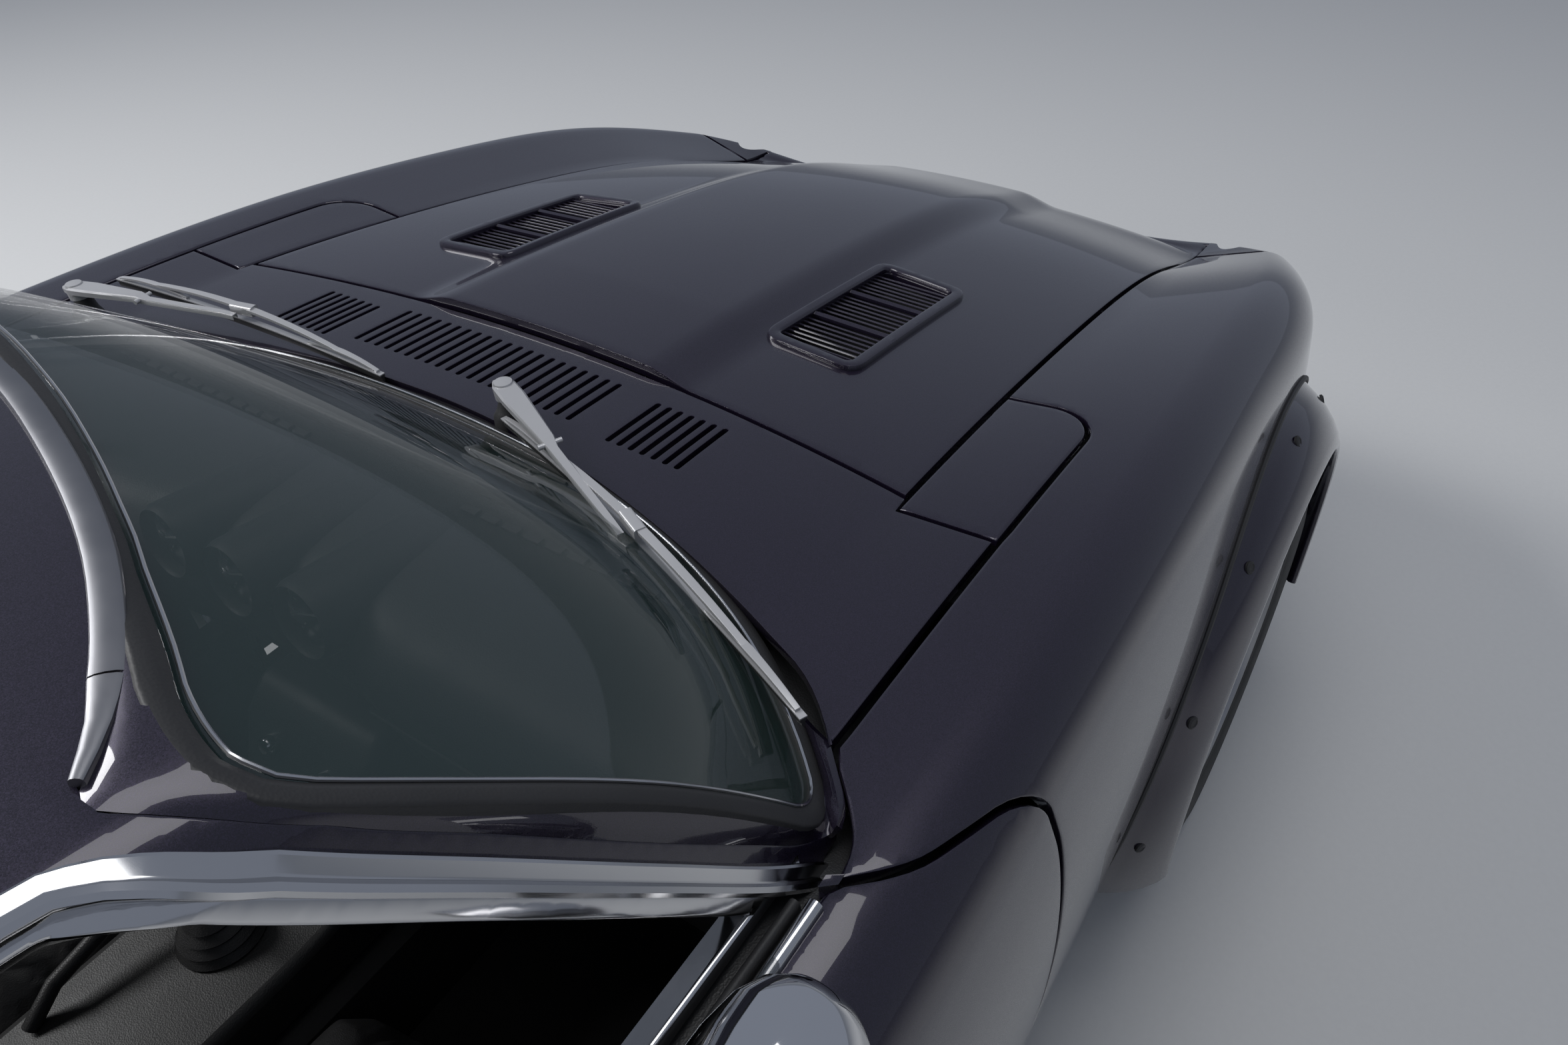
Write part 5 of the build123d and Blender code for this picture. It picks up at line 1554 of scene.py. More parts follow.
def build_headlamps():
    centre, facing = (ahead(545), 0.570, 0.570), FORWARD
    lens = pairs(0, 15.5, 30, 14.5, 55, 11.5, 75, 6, 83.5, 0, 83.5, -3, 74, 2.5, 54, 8, 30, 11, 0, 12)
    paired("headlamp_lenses", [turned("lens", lens, centre, facing, 64)], "lamp_glass", "headlamps", sharp=50)
    bowl = pairs(82, -2, 74, -22, 56, -44, 32, -58, 14, -62, 0, -62, 0, -65, 16, -65, 34, -61, 59, -46, 78,
        -23, 85, -2)
    bulb = pairs(0, -62, 8, -62, 9, -40, 13, -30, 13, -22, 9, -14, 0, -12)
    bezel = pairs(81.5, -4, 81.5, 3.5, 85, 6.5, 88.5, 5, 88.8, -4)
    bright = [turned("part", line, centre, facing, steps) for line, steps in ((bowl, 64), (bulb, 24),
        (bezel, 64))]
    paired("headlamp_bowls", bright, "chrome", sharp=40)
    rib = turned("rib", pairs(0, -50, 1.6, -48, 1.6, 48, 0, 50), (0, 0, 0), UP, 6)
    ribs = repeated("ribs", rib, "lamp_glass", 9, (0, 0.012, 0),
        start=(centre[0] + 0.006, centre[1] - 0.048, centre[2]))
    paired("headlamp_flutes", [ribs], "lamp_glass")
    carried("front_lamps", "amber", bevel=0.003)
    outline = dense(oblong(0.440, 0.560, 0.372, 0.414, 0.008), 0.02)
    line = [(float(np.interp(y, [0.44, 0.56], [ahead(727), ahead(707)])), y, z) for y, z in outline]
    paired("front_lamp_rims", [sweep("rim", line, facing, oval(0.0035, 0.004, 8), True)], "chrome")


def build_tail():
    low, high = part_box("tail_lamps")
    for name, material, y0, y1, node in (("red", "red", 0.334, 0.452, "tail_lamps"),
            ("amber", "amber", 0.526, 0.616, ()), ("clear", "lamp_glass", 0.456, 0.522, ())):
        outline, middle = oblong(y0, y1, 0.694, 0.796, 0.006), (y0 + y1) / 2
        lens = loft("lens", [[(x, middle + (y - middle) * s, 0.745 + (z - 0.745) * s) for y, z in outline]
            for x, s in ((high.x + 0.012, 1), (low.x + 0.008, 1), (low.x + 0.005, 0.985),
            (low.x + 0.003, 0.95))])
        rib = rod("rib", low.x + 0.0035, oval(0.0016, 0.0022, 6), (y0 + 0.006, y1 - 0.006))
        ribs = repeated("ribs", rib, material, 11, (0, 0, 0.009), start=(0, 0, 0.700))
        paired("tail_lamp_" + name, [lens, ribs], material, node, sharp=40)
    line = [(low.x + 0.008, y, z) for y, z in dense(oblong(0.330, 0.620, 0.690, 0.800, 0.010), 0.03)]
    surround = sweep("surround", line, BACK, rounded(rect(0.006, 0.012, -0.006), 0.002, 3), True)
    paired("tail_lamp_surrounds", [surround], "bright")
    for name, outline, near, far, bevel in (("plate_lamp", oblong(-0.07, 0.07, 0.722, 0.742, 0.006), -895,
            -920, 0.002), ("blank_plate", oblong(-0.235, 0.235, 0.612, 0.708, 0.012), -909.5, -911, 0.0006)):
        made = loft(name, [[(by_rear(dx), y, z) for y, z in outline] for dx in (near, far)])
        finish(joined(name, [made]), "bright", bevel=bevel)
    for hand, y in (("right", -0.205), ("left", 0.205)):
        screw = turned("plate_screw_" + hand, pairs(0, 0, 6, 0, 5.5, 2, 0, 3), (by_rear(-911), y, 0.66),
            BACK, 16)
        finish(screw, "steel")
    pipe = pairs(23.5, -30, 24.5, 0, 24.5, 48, 22.5, 50, 21, 48, 21, -30)
    finish(turned("exhaust_tip", pipe, (by_rear(-945), 0.2, 0.24), BACK, 40), "chrome", sharp=30)


# ---- Wipers and mirrors

# Millimetres ahead of the front axle: spindle, blade's middle, blade's two ends
WIPER_LINES = [((-770, 576, 908), (-707, 325, 936), (-722, 560, 938), (-685, 86, 915)),
               ((-664, -100, 912), (-784, -366, 937), (-690, -120, 928), (-867, -616, 927))]


def build_wipers():
    silver, black = [], []
    for marks in WIPER_LINES:
        s, m, a, b = (np.array((ahead(x), y / 1000, z / 1000)) for x, y, z in marks)
        top = top_z(s[0], s[1])
        boss = pairs(0, -12, 19, -12, 19, 3, 15, 10, 12.5, 18, 10.5, 26, 0, 27)
        black.append(turned("boss", boss, (s[0], s[1], top), (0.12, 0, 1), 32))
        head = np.array((s[0], s[1], top + 0.036))
        silver.append(turned("cap", pairs(0, -10, 12, -10, 12.5, 4, 10, 10, 0, 11.5), head, UP, 28))
        run = m - head
        length = np.linalg.norm(run)
        run /= length
        # The arm: how far along, how high above the line to the blade, how wide
        steps = ((-0.012, 0.003, 0.8), (0, 0.004, 1.15), (0.03, 0.006, 1.2), (length * 0.42, 0.009, 0.72),
            (length * 0.47, 0.006, 0.5), (length - 0.02, 0.009, 0.36), (length, 0.008, 0.36))
        line = [head + run * far + np.array((0, 0, high)) for far, high, _ in steps]
        channel = pairs(-11, -5, -11, 2, -9, 4.5, 9, 4.5, 11, 2, 11, -5, 9, -5, 9, 2, -9, 2, -9, -5)
        silver.append(sweep("arm", line, UP, channel, taper=[(w, 0.9 if w > 0.6 else 0.7)
            for _, _, w in steps]))
        pin = head + run * length * 0.44 + np.array((0, 0, 0.008))
        silver.append(turned("pin", pairs(0, -13, 3, -13, 3, 13, 0, 13), pin, np.cross(run, UP), 14))

        def on_blade(t, lift):
            """A point on the blade, bowed to the glass."""
            return a + (b - a) * t + np.array((0.010, 0, 0.0)) * (4 * t * (1 - t)) + np.array((0, 0,
                0.006 + lift))

        for t0, t1, lift, high, w, h in ((0.14, 0.86, 0.007, 0.011, 0.010, 0.0045),
                (0.015, 0.27, 0.0025, 0.006, 0.008, 0.0035), (0.73, 0.985, 0.0025, 0.006, 0.008, 0.0035)):
            spread = [(t, 2 * (t - t0) / (t1 - t0) - 1) for t in np.linspace(t0, t1, 13)]
            silver.append(sweep("bridge", [on_blade(t, lift + high * (1 - e**2)) for t, e in spread], UP,
                rounded(rect(w, h, -h / 2), 0.001, 3), taper=[(1 - 0.35 * abs(e), 1) for _, e in spread]))
        whole = np.linspace(0, 1, 25)
        silver.append(sweep("spine", [on_blade(t, 0.0005) for t in whole], UP, rect(0.007, 0.0016, -0.0008)))
        rubber = pairs(-3, 0, 3, 0, 2.8, -3, 1.2, -4, 1.8, -6, 0.6, -10.5, -0.6, -10.5, -1.8, -6, -1.2, -4,
            -2.8, -3)
        black.append(sweep("squeegee", [on_blade(t, 0.0) for t in whole], UP, rubber))
        clip = on_blade(0.5, 0.016)
        silver.append(sweep("clip", [clip - run * 0.016, clip, clip + run * 0.016], UP,
            rounded(rect(0.013, 0.013, -0.007), 0.003, 4)))
    finish(joined("wiper_arms", silver), "silver", "wipers", sharp=35)
    finish(joined("wiper_rubbers", black), "rubber", sharp=35)


def build_mirrors():
    centre = (ahead(-1108), 0.762, 0.985)
    shell = pairs(0, 47, 12, 45.5, 26, 40, 38, 29, 46, 12, 49.5, -12, 50, -36, 49.5, -44, 45.5, -45.5, 45,
        -40, 0, -37)
    head = turned("head", shell, centre, FORWARD, 56)
    foot = (ahead(-1070), 0.740)
    base_z = top_z(*foot)
    base = turned("base", pairs(0, -6, 24, -6, 25, 1, 21, 6, 11, 10, 8.5, 18, 0, 19), (*foot, base_z),
        (0.05, 0.35, 1), 36)
    stalk = sweep("stalk", curve([(foot[0], foot[1], base_z + 0.008),
        (foot[0] - 0.006, foot[1] + 0.006, base_z + 0.03), (ahead(-1092), 0.752, 0.945),
        (ahead(-1100), 0.758, 0.965)], 0.006), LEFT, oval(0.0075, 0.0065, 12))
    ball = turned("ball", pairs(0, -12, 6, -10.5, 10.5, -6, 12, 0, 10.5, 6, 6, 10.5, 0, 12),
        (ahead(-1095), 0.755, 0.942), UP, 24)
    both(joined("shell", [head, base, stalk, ball]), "mirror_shell", "chrome", DOORS,
        ("mirror_left", "mirror_right"), sharp=40)
    glass = turned("pane", pairs(0, -35.5, 44.8, -38.5, 44.8, -40.5, 0, -37.5), centre, FORWARD, 48)
    both(glass, "mirror_pane", "bright", DOORS)
    gasket = turned("gasket", pairs(20, -7, 27.5, -7, 27.5, -1, 24, 1.2, 20, 0), (*foot, base_z),
        (0.05, 0.35, 1), 36)
    both(gasket, "mirror_gasket", "rubber", DOORS)


def build_door_fittings():
    """Door handles, locks and the inner pulls."""
    x0, x1 = DOOR_REAR + 0.070, DOOR_REAR + 0.210
    zs = 0.775
    handle = [(x, side_y(x, zs) + h, zs) for x, h in ((x0, 0.002), (x0 + 0.008, 0.016), (x0 + 0.03, 0.022),
        (x1 - 0.03, 0.022), (x1 - 0.008, 0.016), (x1, 0.002))]
    bar = sweep("bar", curve(handle, 0.008), UP, oval(0.0055, 0.009, 12))
    cup = [turned("cup", pairs(0, -3, 14, -3, 13, 3, 9, 5, 0, 5.5), (x, side_y(x, zs), zs), (0, 1, 0.12), 28)
        for x in (x0, x1)]
    button = turned("button", pairs(0, 0, 10, 0, 10, 8, 8, 11, 0, 12),
        (x1 - 0.008, side_y(x1, zs) + 0.004, zs), (0, 1, 0.1), 24)
    lock = turned("lock", pairs(0, -2, 9, -2, 9, 2, 4, 3, 4, 1.2, 0, 1.2),
        (DOOR_REAR + 0.12, side_y(DOOR_REAR, 0.735), 0.735), (0, 1, 0.05), 24)
    both(joined("handle", [bar, *cup, button, lock]), "door_handle", "chrome", DOORS, sharp=35)
    crank_x, crank_z = ahead(-1150), 0.52
    plate = turned("plate", pairs(0, 0, 22, 0, 21, -6, 12, -10, 0, -10), (crank_x, 0.657, crank_z), LEFT, 28)
    arm = sweep("arm", [(crank_x, 0.645, crank_z), (crank_x - 0.03, 0.640, crank_z + 0.02),
        (crank_x - 0.075, 0.638, crank_z + 0.045)], LEFT, oval(0.007, 0.004, 10))
    knob = turned("knob", pairs(0, 0, 7, 0, 10, -10, 9, -22, 0, -24),
        (crank_x - 0.075, 0.640, crank_z + 0.045), LEFT, 20)
    both(joined("winder", [plate, arm, knob]), "window_winder", "bright", DOORS, sharp=40)
    rest = curve([(ahead(-1180), 0.655, 0.60), (ahead(-1200), 0.615, 0.600), (ahead(-1300), 0.600, 0.597),
        (ahead(-1440), 0.602, 0.600), (ahead(-1480), 0.655, 0.610)], 0.02)
    both(sweep("armrest", rest, UP, rounded(rect(0.040, 0.050, -0.025), 0.014, 5)), "door_armrest", "vinyl",
        DOORS, sharp=50)


# ---- Cabin

DASH_LINE = [(-700, 0.868), (-790, 0.874), (-880, 0.876), (-925, 0.872), (-955, 0.860), (-975, 0.838),
    (-984, 0.810), (-978, 0.770), (-962, 0.715), (-935, 0.665), (-890, 0.642), (-700, 0.642)]


def clock(axis):
    """The ways across and up on a round thing that faces along an axis."""
    across = Vector(LEFT)
    up = across.cross(axis).normalized()
    return across, -up if up.z < 0 else up


def build_dash():
    loops = []
    for y in [-0.637, -0.634, *np.linspace(-0.625, 0.625, 61), 0.634, 0.637]:
        pull = 0.010 * max(0.0, (abs(y) - 0.600) / 0.037)**2
        # A hood rises over the driver's dials, and the middle falls back behind the pods
        hood_in = np.exp(-((y - SEAT_Y) / 0.185)**6)
        centre_in = np.exp(-(y / 0.185)**8)
        loop = []
        for i, (dx, z) in enumerate(DASH_LINE):
            x = ahead(dx)
            if 3 <= i <= 6:
                z += 0.018 * hood_in * (1 - 0.25 * (i - 3))
                x -= 0.012 * hood_in
            if 4 <= i <= 9:
                x += 0.020 * centre_in
            loop.append((x + pull, y, z - pull if i < 6 else z + pull))
        loops.append(loop)
    finish(smoothed(loft("dashboard_pad", loops)), "dash", "dashboard", sharp=60)
    pods, faces, marks, rings, needles = [], [], [], [], []
    for dx, y, z, r, lean in [(-955, y, 0.862, 0.042, 0.18) for y in (0.112, 0.0, -0.112)] + [(-986,
            SEAT_Y + y, 0.820, 0.067, 0.2) for y in (-0.082, 0.082)]:
        centre, facing, small = (ahead(dx), y, z), (-1, 0, lean), r < 0.05
        if small:
            tube = [(0.0, -0.004), (r * 0.86, -0.004), (r * 0.86, 0.016), (r * 0.93, 0.020),
                (r + 0.001, 0.012), (r + 0.003, -0.02), (r + 0.006, -0.16), (0.0, -0.16)]
            pods.append(turned("pod", tube, centre, facing, 44))
            faces.append(turned("face", [(0, -0.003), (r * 0.85, -0.003), (r * 0.85, -0.001), (0, -0.001)],
                centre, facing, 40))
            rings.append(turned("ring", [(r * 0.83, -0.001), (r * 0.87, -0.001), (r * 0.87, 0.005),
                (r * 0.845, 0.006)], centre, facing, 44))
        else:
            rings.append(turned("ring", pairs(60, -10, 67, -10, 67, 10, 63, 14, 60, 8), centre, facing, 48))
            faces.append(turned("face", pairs(0, -4, 61, -4, 61, 0, 0, 0), centre, facing, 44))
        axis, centre = Vector(facing).normalized(), Vector(centre)
        across, up = clock(axis)
        ways = [across * -cos(a) + up * sin(a) for a in [radians(225 - 27 * k) for k in range(11)]
            + [radians(200 if small else 215)]]
        p = centre + axis * 0.0006
        marks += [sweep("mark", [p + way * r * 0.66, p + way * r * 0.76], axis,
            rect(0.0016 if small else 0.0022, 0.0006)) for way in ways[:-1]]
        way, p = ways[-1], centre + axis * 0.003
        needles.append(sweep("needle", [p - way * r * 0.12, p + way * r * 0.66], axis, rect(0.0022, 0.0012)))
    finish(joined("dial_pods", pods), "dash", sharp=40)
    finish(joined("dial_faces", faces), "dial")
    finish(joined("dial_marks", marks + needles), "dial_marks")
    finish(joined("dial_rings", rings), "bright", sharp=35)
    slots = []
    for y0 in (-0.50, 0.14):
        slot = loft("slot", [[(a, y, b) for a, b in rounded(rect(0.010, 0.004), 0.0015, 3)]
            for y in (-0.011, 0.011)])
        slots.append(repeated("slots", slot, "matt_black", 13, (0, 0.03, 0), start=(ahead(-775), y0, 0.8735)))
    finish(joined("defroster_slots", slots), "matt_black")
    shelf = [(ahead(-636), 0.866), (ahead(-636), 0.876), (ahead(-735), 0.8745), (ahead(-735), 0.866)]
    finish(slab("screen_shelf", shelf, -0.60, 0.60), "dash", bevel=0.002)
    glove = [[(ahead(-985) + x, y, z) for y, z in oblong(-0.56, -0.19, 0.700, 0.800, 0.014)]
        for x in (0.006, 0)]
    glove = joined("glovebox_lid", [loft("lid", glove)])
    for v in glove.data.vertices:
        v.co.x += (0.80 - v.co.z) * 0.42 - 0.001
    finish(glove, "dash", bevel=0.003)
    knob = pairs(0, 0, 8, 0, 8, 6, 11, 9, 10, 14, 0, 16)
    finish(turned("glovebox_knob", knob, (ahead(-981), -0.375, 0.785), (-1, 0, 0.2), 24), "bright", sharp=35)


def build_console():
    side = [(-880, 0.650), (-950, 0.655), (-985, 0.620), (-1035, 0.500), (-1060, 0.474), (-1120, 0.468),
        (-1480, 0.466), (-1515, 0.456), (-1520, 0.385), (-880, 0.385)]
    finish(slab("console", [(ahead(x), z) for x, z in side], -0.106, 0.106), "dash", bevel=0.012, sharp=25)
    boot = pairs(0, 0, 48, 0, 50, 4, 43, 12, 45, 16, 36, 24, 38, 28, 28, 36, 30, 40, 18, 52, 9, 60, 0, 60)
    finish(turned("gear_lever_boot", boot, (ahead(-1150), 0.0, 0.467), UP, 36), "vinyl", sharp=60)
    knob = pairs(0, -16, 9, -16, 17, -6, 21.5, 6, 20, 18, 13, 26, 0, 29)
    for name, line, section, material, sharp in (("gear_lever",
            ((-1150, 0.50), (-1158, 0.56), (-1172, 0.62)), oval(0.005, 0.005, 12), "bright", 42),
            ("hand_brake", ((-1330, 0.470), (-1290, 0.500), (-1170, 0.530)), oval(0.009, 0.009, 14), "vinyl",
            60)):
        y = 0.075 if name == "hand_brake" else 0
        finish(sweep(name, [(ahead(x), y, z) for x, z in line], LEFT, section), material, sharp=sharp)
    finish(turned("gear_knob", knob, (ahead(-1173), 0, 0.632), (-0.2, 0, 1), 32), "dash", sharp=60)
    switch = pairs(0, 0, 13, 0, 12, 10, 9, 14, 0, 15)
    knobs = [turned("switch", switch, (ahead(-992) - 0.42 * (0.60 - z), y, z), (-1, 0, 0.45), 28)
        for y, z in ((-0.05, 0.60), (0.05, 0.60), (0.0, 0.555))]
    finish(joined("heater_knobs", knobs), "bright", sharp=40)
    for name, y in (("clutch", 0.46), ("brake", 0.365), ("throttle", 0.275)):
        pad = loft("pad", [[(ahead(-815) - t, y + a, 0.36 + b) for a, b in oblong(-0.024, 0.024, -0.032,
            0.032, 0.008)] for t in (0.0, 0.012)])
        arm = sweep("arm", [(ahead(-820), y, 0.38), (ahead(-790), y, 0.50), (ahead(-740), y, 0.66)], LEFT,
            rect(0.006, 0.012, -0.006))
        finish(joined(name + "_pedal", [pad, arm]), "rubber", bevel=0.001)


def build_steering_wheel():
    centre = Vector((ahead(-1150), SEAT_Y, 0.850))
    tilt = radians(18)
    axis = Vector((-cos(tilt), 0, sin(tilt)))
    section = [(0.185 + 0.0135 * cos(a), 0.0135 * sin(a)) for a in np.linspace(0, tau, 15)[:-1]]
    finish(turned("steering_rim", section, centre, axis, 120), "wheel_rim", "steering_wheel", "steering",
        sharp=60)
    across, up = clock(axis)
    spokes = []
    for a in (radians(0), radians(180), radians(270)):
        way = across * cos(a) + up * sin(a)
        side = axis.cross(way)
        spokes.append(loft("spoke", [[centre + way * r + axis * (h + b) + side * c
            for c, b in oblong(-w, w, -0.0016, 0.0016, 0.001, 3)] for r, h, w in ((0.036, -0.018, 0.020),
            (0.08, -0.012, 0.017), (0.13, -0.005, 0.015), (0.174, -0.001, 0.014))]))
        for r in (0.085, 0.115, 0.145):
            spot = centre + way * r + axis * (-0.0115 + (r - 0.08) * 0.13)
            spokes.append(turned("ring", pairs(5.2, -2, 7.5, -2, 7.5, 2, 5.2, 2), spot, axis, 20))
    finish(joined("steering_spokes", spokes), "silver", (), "steering", sharp=35)
    hub = pairs(0, -60, 18, -60, 18, -30, 40, -28, 46, -18, 46, -4, 30, 6, 0, 10)
    finish(turned("steering_hub", hub, centre, axis, 48), "dash", (), "steering", sharp=45)
    for hand, s in (("left", 1), ("right", -1)):
        line = [(ahead(-1095), SEAT_Y + 0.03 * s, 0.838), (ahead(-1095) - 0.012, SEAT_Y + 0.10 * s,
            0.838 + 0.006)]
        finish(sweep("column_stalk_" + hand, line, UP, oval(0.0045, 0.0045, 10)), "dash")


# ---- Seats: each cushion is blown up as cloth from a slightly smaller block, then stitched

def pad_block(name, rows, lean):
    """A closed block through loops of a rounded section, whose depth leans back from level."""
    loops = []
    for distance, *sizes in rows:
        x, (z, half, deep) = ahead(distance), (v / 1000 for v in sizes)
        loop = []
        for k in range(28):
            a = tau * k / 28
            c, s = cos(a), sin(a)
            w = half * (abs(c)**0.42) * (1 if c > 0 else -1)
            d = deep * (abs(s)**0.55) * (1 if s > 0 else -1)
            loop.append((x + d * cos(lean), SEAT_Y + w, z + d * sin(lean)))
        loops.append(loop)
    return loft(name, loops)


# Rows of a pad, in millimetres: place ahead of the front axle, height, half width and half depth
CUSHION_ROWS = [(-1110, 372, 190, 50), (-1135, 380, 215, 66), (-1200, 378, 224, 70), (-1300, 366, 224, 68),
    (-1400, 354, 220, 64), (-1475, 346, 205, 50)]
BACK_ROWS = [(-1528, 372, 195, 44), (-1545, 440, 220, 58), (-1572, 560, 224, 56), (-1605, 690, 218, 50),
    (-1635, 800, 196, 44), (-1652, 858, 150, 38), (-1668, 915, 142, 40), (-1680, 962, 128, 34)]


def inflated(obj, cap):
    """Swells a closed block as cloth, and keeps each point within a distance of where it started."""
    mod = obj.modifiers.new("remesh", "REMESH")
    mod.mode, mod.voxel_size = "VOXEL", 0.006
    obj = flat_copy(obj)
    rest = np.array([v.co for v in obj.data.vertices])
    cloth = obj.modifiers.new("cloth", "CLOTH")
    settings = cloth.settings
    settings.quality = 5
    settings.mass = 0.4
    settings.use_pressure = True
    settings.uniform_pressure_force = 4.0
    settings.tension_stiffness = settings.compression_stiffness = 25
    settings.effector_weights.gravity = 0
    cloth.point_cache.frame_start, cloth.point_cache.frame_end = 1, 20
    for frame_number in range(1, 21):
        bpy.context.scene.frame_set(frame_number)
    obj = flat_copy(obj)
    bpy.context.scene.frame_set(1)
    move = np.array([v.co for v in obj.data.vertices]) - rest
    far = np.linalg.norm(move, axis=1)[:, None]
    obj.data.vertices.foreach_set("co", (rest + move * np.minimum(1,
        cap / np.maximum(far, 1e-9))).ravel())
    obj.data.update()
    return obj


def channelled(obj, lines, depth, width):
    """Presses sewn channels into a pad: each line is a function that gives a point's distance from it."""
    co = np.array([v.co for v in obj.data.vertices])
    normal = np.array([v.normal for v in obj.data.vertices])
    push = np.zeros(len(co))
    for line in lines:
        push = np.maximum(push, np.exp(-(line(co, normal) / width)**2))
    obj.data.vertices.foreach_set("co", (co - normal * (push * depth)[:, None]).ravel())
    obj.data.update()


def build_seats():
    def channels(way, facing, start, stop, within):
        """The cross seams on the face that points along an axis, then the two long ones beside them."""
        lines = [lambda co, n, k=k: np.where((n[:, facing] > 0.3) & (abs(co[:, 1] - SEAT_Y) < 0.135),
            co @ way - k, 1.0) for k in np.arange(start, stop, 0.052)]
        return lines + [lambda co, n, e=edge: np.where((n[:, facing] > 0.2) & within(co),
            co[:, 1] - SEAT_Y - e, 1.0) for edge in (-0.14, 0.14)]

    cushion = inflated(pad_block("cushion", CUSHION_ROWS, radians(90)), 0.016)
    lines = channels(np.array((1.0, 0, 0)), 2, ahead(-1440), ahead(-1150), lambda co: co[:, 0] > ahead(-1500))
    channelled(cushion, lines, 0.007, 0.006)
    back = inflated(pad_block("back", BACK_ROWS, radians(12)), 0.014)
    upwards = np.array((-0.21, 0, 0.978))
    base = float(np.dot(upwards, (ahead(-1545), 0, 0.44)))
    lines = channels(upwards, 0, base + 0.02, base + 0.36, lambda co: co[:, 2] < 0.82)
    lines.append(lambda co, n: co[:, 2] - 0.868 + 0.2 * (co[:, 0] - ahead(-1652)))
    channelled(back, lines, 0.007, 0.006)
    for pad, label, nodes in ((cushion, "seat_cushion", ("seat_left", "seat_right")),
            (back, "seat_back", ((), ()))):
        pad = smoothed(pad, 1)
        for made in both(pad, label, "vinyl", ("car_body", "car_body"), nodes, sharp=80):
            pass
    base = loft("seat_base", [[(ahead(x), y, z) for y, z in ((0.150, z0), (0.580, z0), (0.580, z1),
        (0.150, z1))] for x, z0, z1 in ((-1112, 0.296, 0.322), (-1300, 0.292, 0.318), (-1480, 0.290, 0.316),
        (-1530, 0.290, 0.320))])
    bar = rounded(rect(0.030, 0.066, 0.228), 0.004, 3)
    rails = [loft("rail", [[(x, y + a, b) for a, b in bar] for x in (ahead(-1540), ahead(-1120))])
        for y in (0.2, 0.53)]
    cap = pairs(0, 0, 26, 0, 25, 10, 15, 14, 0, 15)
    pivots = [turned("pivot", cap, (ahead(-1515), y, 0.345), (0, s, 0), 28)
        for y, s in ((0.587, 1), (0.143, -1))]
    paired("seat_frames", [base, *rails, *pivots], "matt_black", bevel=0.003)
    board = loft("seat_backboard", [[(ahead(x), y, z) for x, y in ((x0, 0.175), (x0, 0.555),
        (x0 - 16, 0.555), (x0 - 16, 0.175))] for x0, z in ((-1592, 0.34), (-1608, 0.44), (-1640, 0.60),
        (-1680, 0.78))])
    paired("seat_backboards", [board], "vinyl", bevel=0.006)


def build_linings():
    """Headlining, rear deck carpet, footwell linings, rear-view mirror and sun visors."""
    half = [(ahead(x - 34), y / 1000) for x, y, _ in GLASS_HEADER[:-2]] + [(ahead(-1262), 0.490),
        (by_rear(345), 0.50)]
    top = house_top(dense(half + [(x, -y) for x, y in half[:0:-1]], 0.04))
    finish(panel("headlining", raised(house_surface, -0.022), top, (), 0.004, 0.001, 0.04), "lining")

    def sheet(name, x0, x1, z0, z1, y0, y1):
        return slab(name, [(x0, z0), (x0, z1), (x1, z1), (x1, z0)], y0, y1)

    deck = sheet("deck", by_rear(425), by_rear(-850), 0.523, 0.532, -0.475, 0.475)
    finish(joined("rear_deck_carpet", [deck]), "carpet", bevel=0.003)
    paired("floor_carpets", [sheet("mat", ahead(-1620), ahead(-700), 0.2265, 0.2335, 0.135, 0.595)],
        "carpet", bevel=0.002)
    paired("footwell_linings", [sheet("side", ahead(-560), ahead(-784), 0.212, 0.86, 0.636, 0.641)],
        "carpet", bevel=0.001)
    stem = sweep("stem", [(ahead(-1100), 0, 1.222), (ahead(-1112), 0, 1.205), (ahead(-1122), 0, 1.182)],
        LEFT, oval(0.005, 0.005, 12))

    def mirror(name, rows):
        return loft(name, [[(ahead(-1122) + t + 0.25 * b, a * wide, 1.165 + b * tall)
            for a, b in oblong(-0.115, 0.115, -0.026, 0.026, 0.02, 6)] for t, wide, tall in rows])

    case = mirror("case", ((0.012, 0.7, 0.7), (0.008, 0.95, 0.95), (0.0, 1.0, 1.0), (-0.008, 1.0, 1.0)))
    finish(joined("inside_mirror", [stem, case]), "matt_black", sharp=50)
    finish(mirror("inside_mirror_pane", ((-0.0065, 0.95, 0.93), (-0.0088, 0.95, 0.93))), "bright")
    loops = []
    for y in np.linspace(0.06, 0.37, 7):
        x = ahead(-1122) - 0.50 * y * y
        loops.append([(x - d, y, top_z(x - d, y, house_section) - 0.030 - h)
            for d, h in ((0, 0.002), (0.004, 0), (0.116, 0), (0.12, 0.002), (0.12, 0.006), (0.116, 0.008),
            (0.004, 0.008), (0, 0.006))])
    paired("sun_visors", [loft("visor", loops)], "lining", bevel=0.004)


def build_underside():
    for nodes, material, bevel in ((("nose_panel", "tail_panel", "sills"), "paint", 0.0025),
            (("floor_pan",), "underseal", 0.001), (("engine_block",), "casting", 0.008),
            (("front_suspension",), "casting", 0.002), (("rear_suspension",), "casting", 0.003),
            (("exhaust",), "steel", 0.002)):
        for node in nodes:
            carried(node, material, bevel=bevel)
    for hand in ("left", "right"):
        carried("door_glass_" + hand, "side_glass", hand + "_door", 0.001)
    for hand in ("left", "right"):
        carried("knuckle_" + hand, "casting", hand + "_knuckle", 0.002)


# ---- Stage, lights and camera

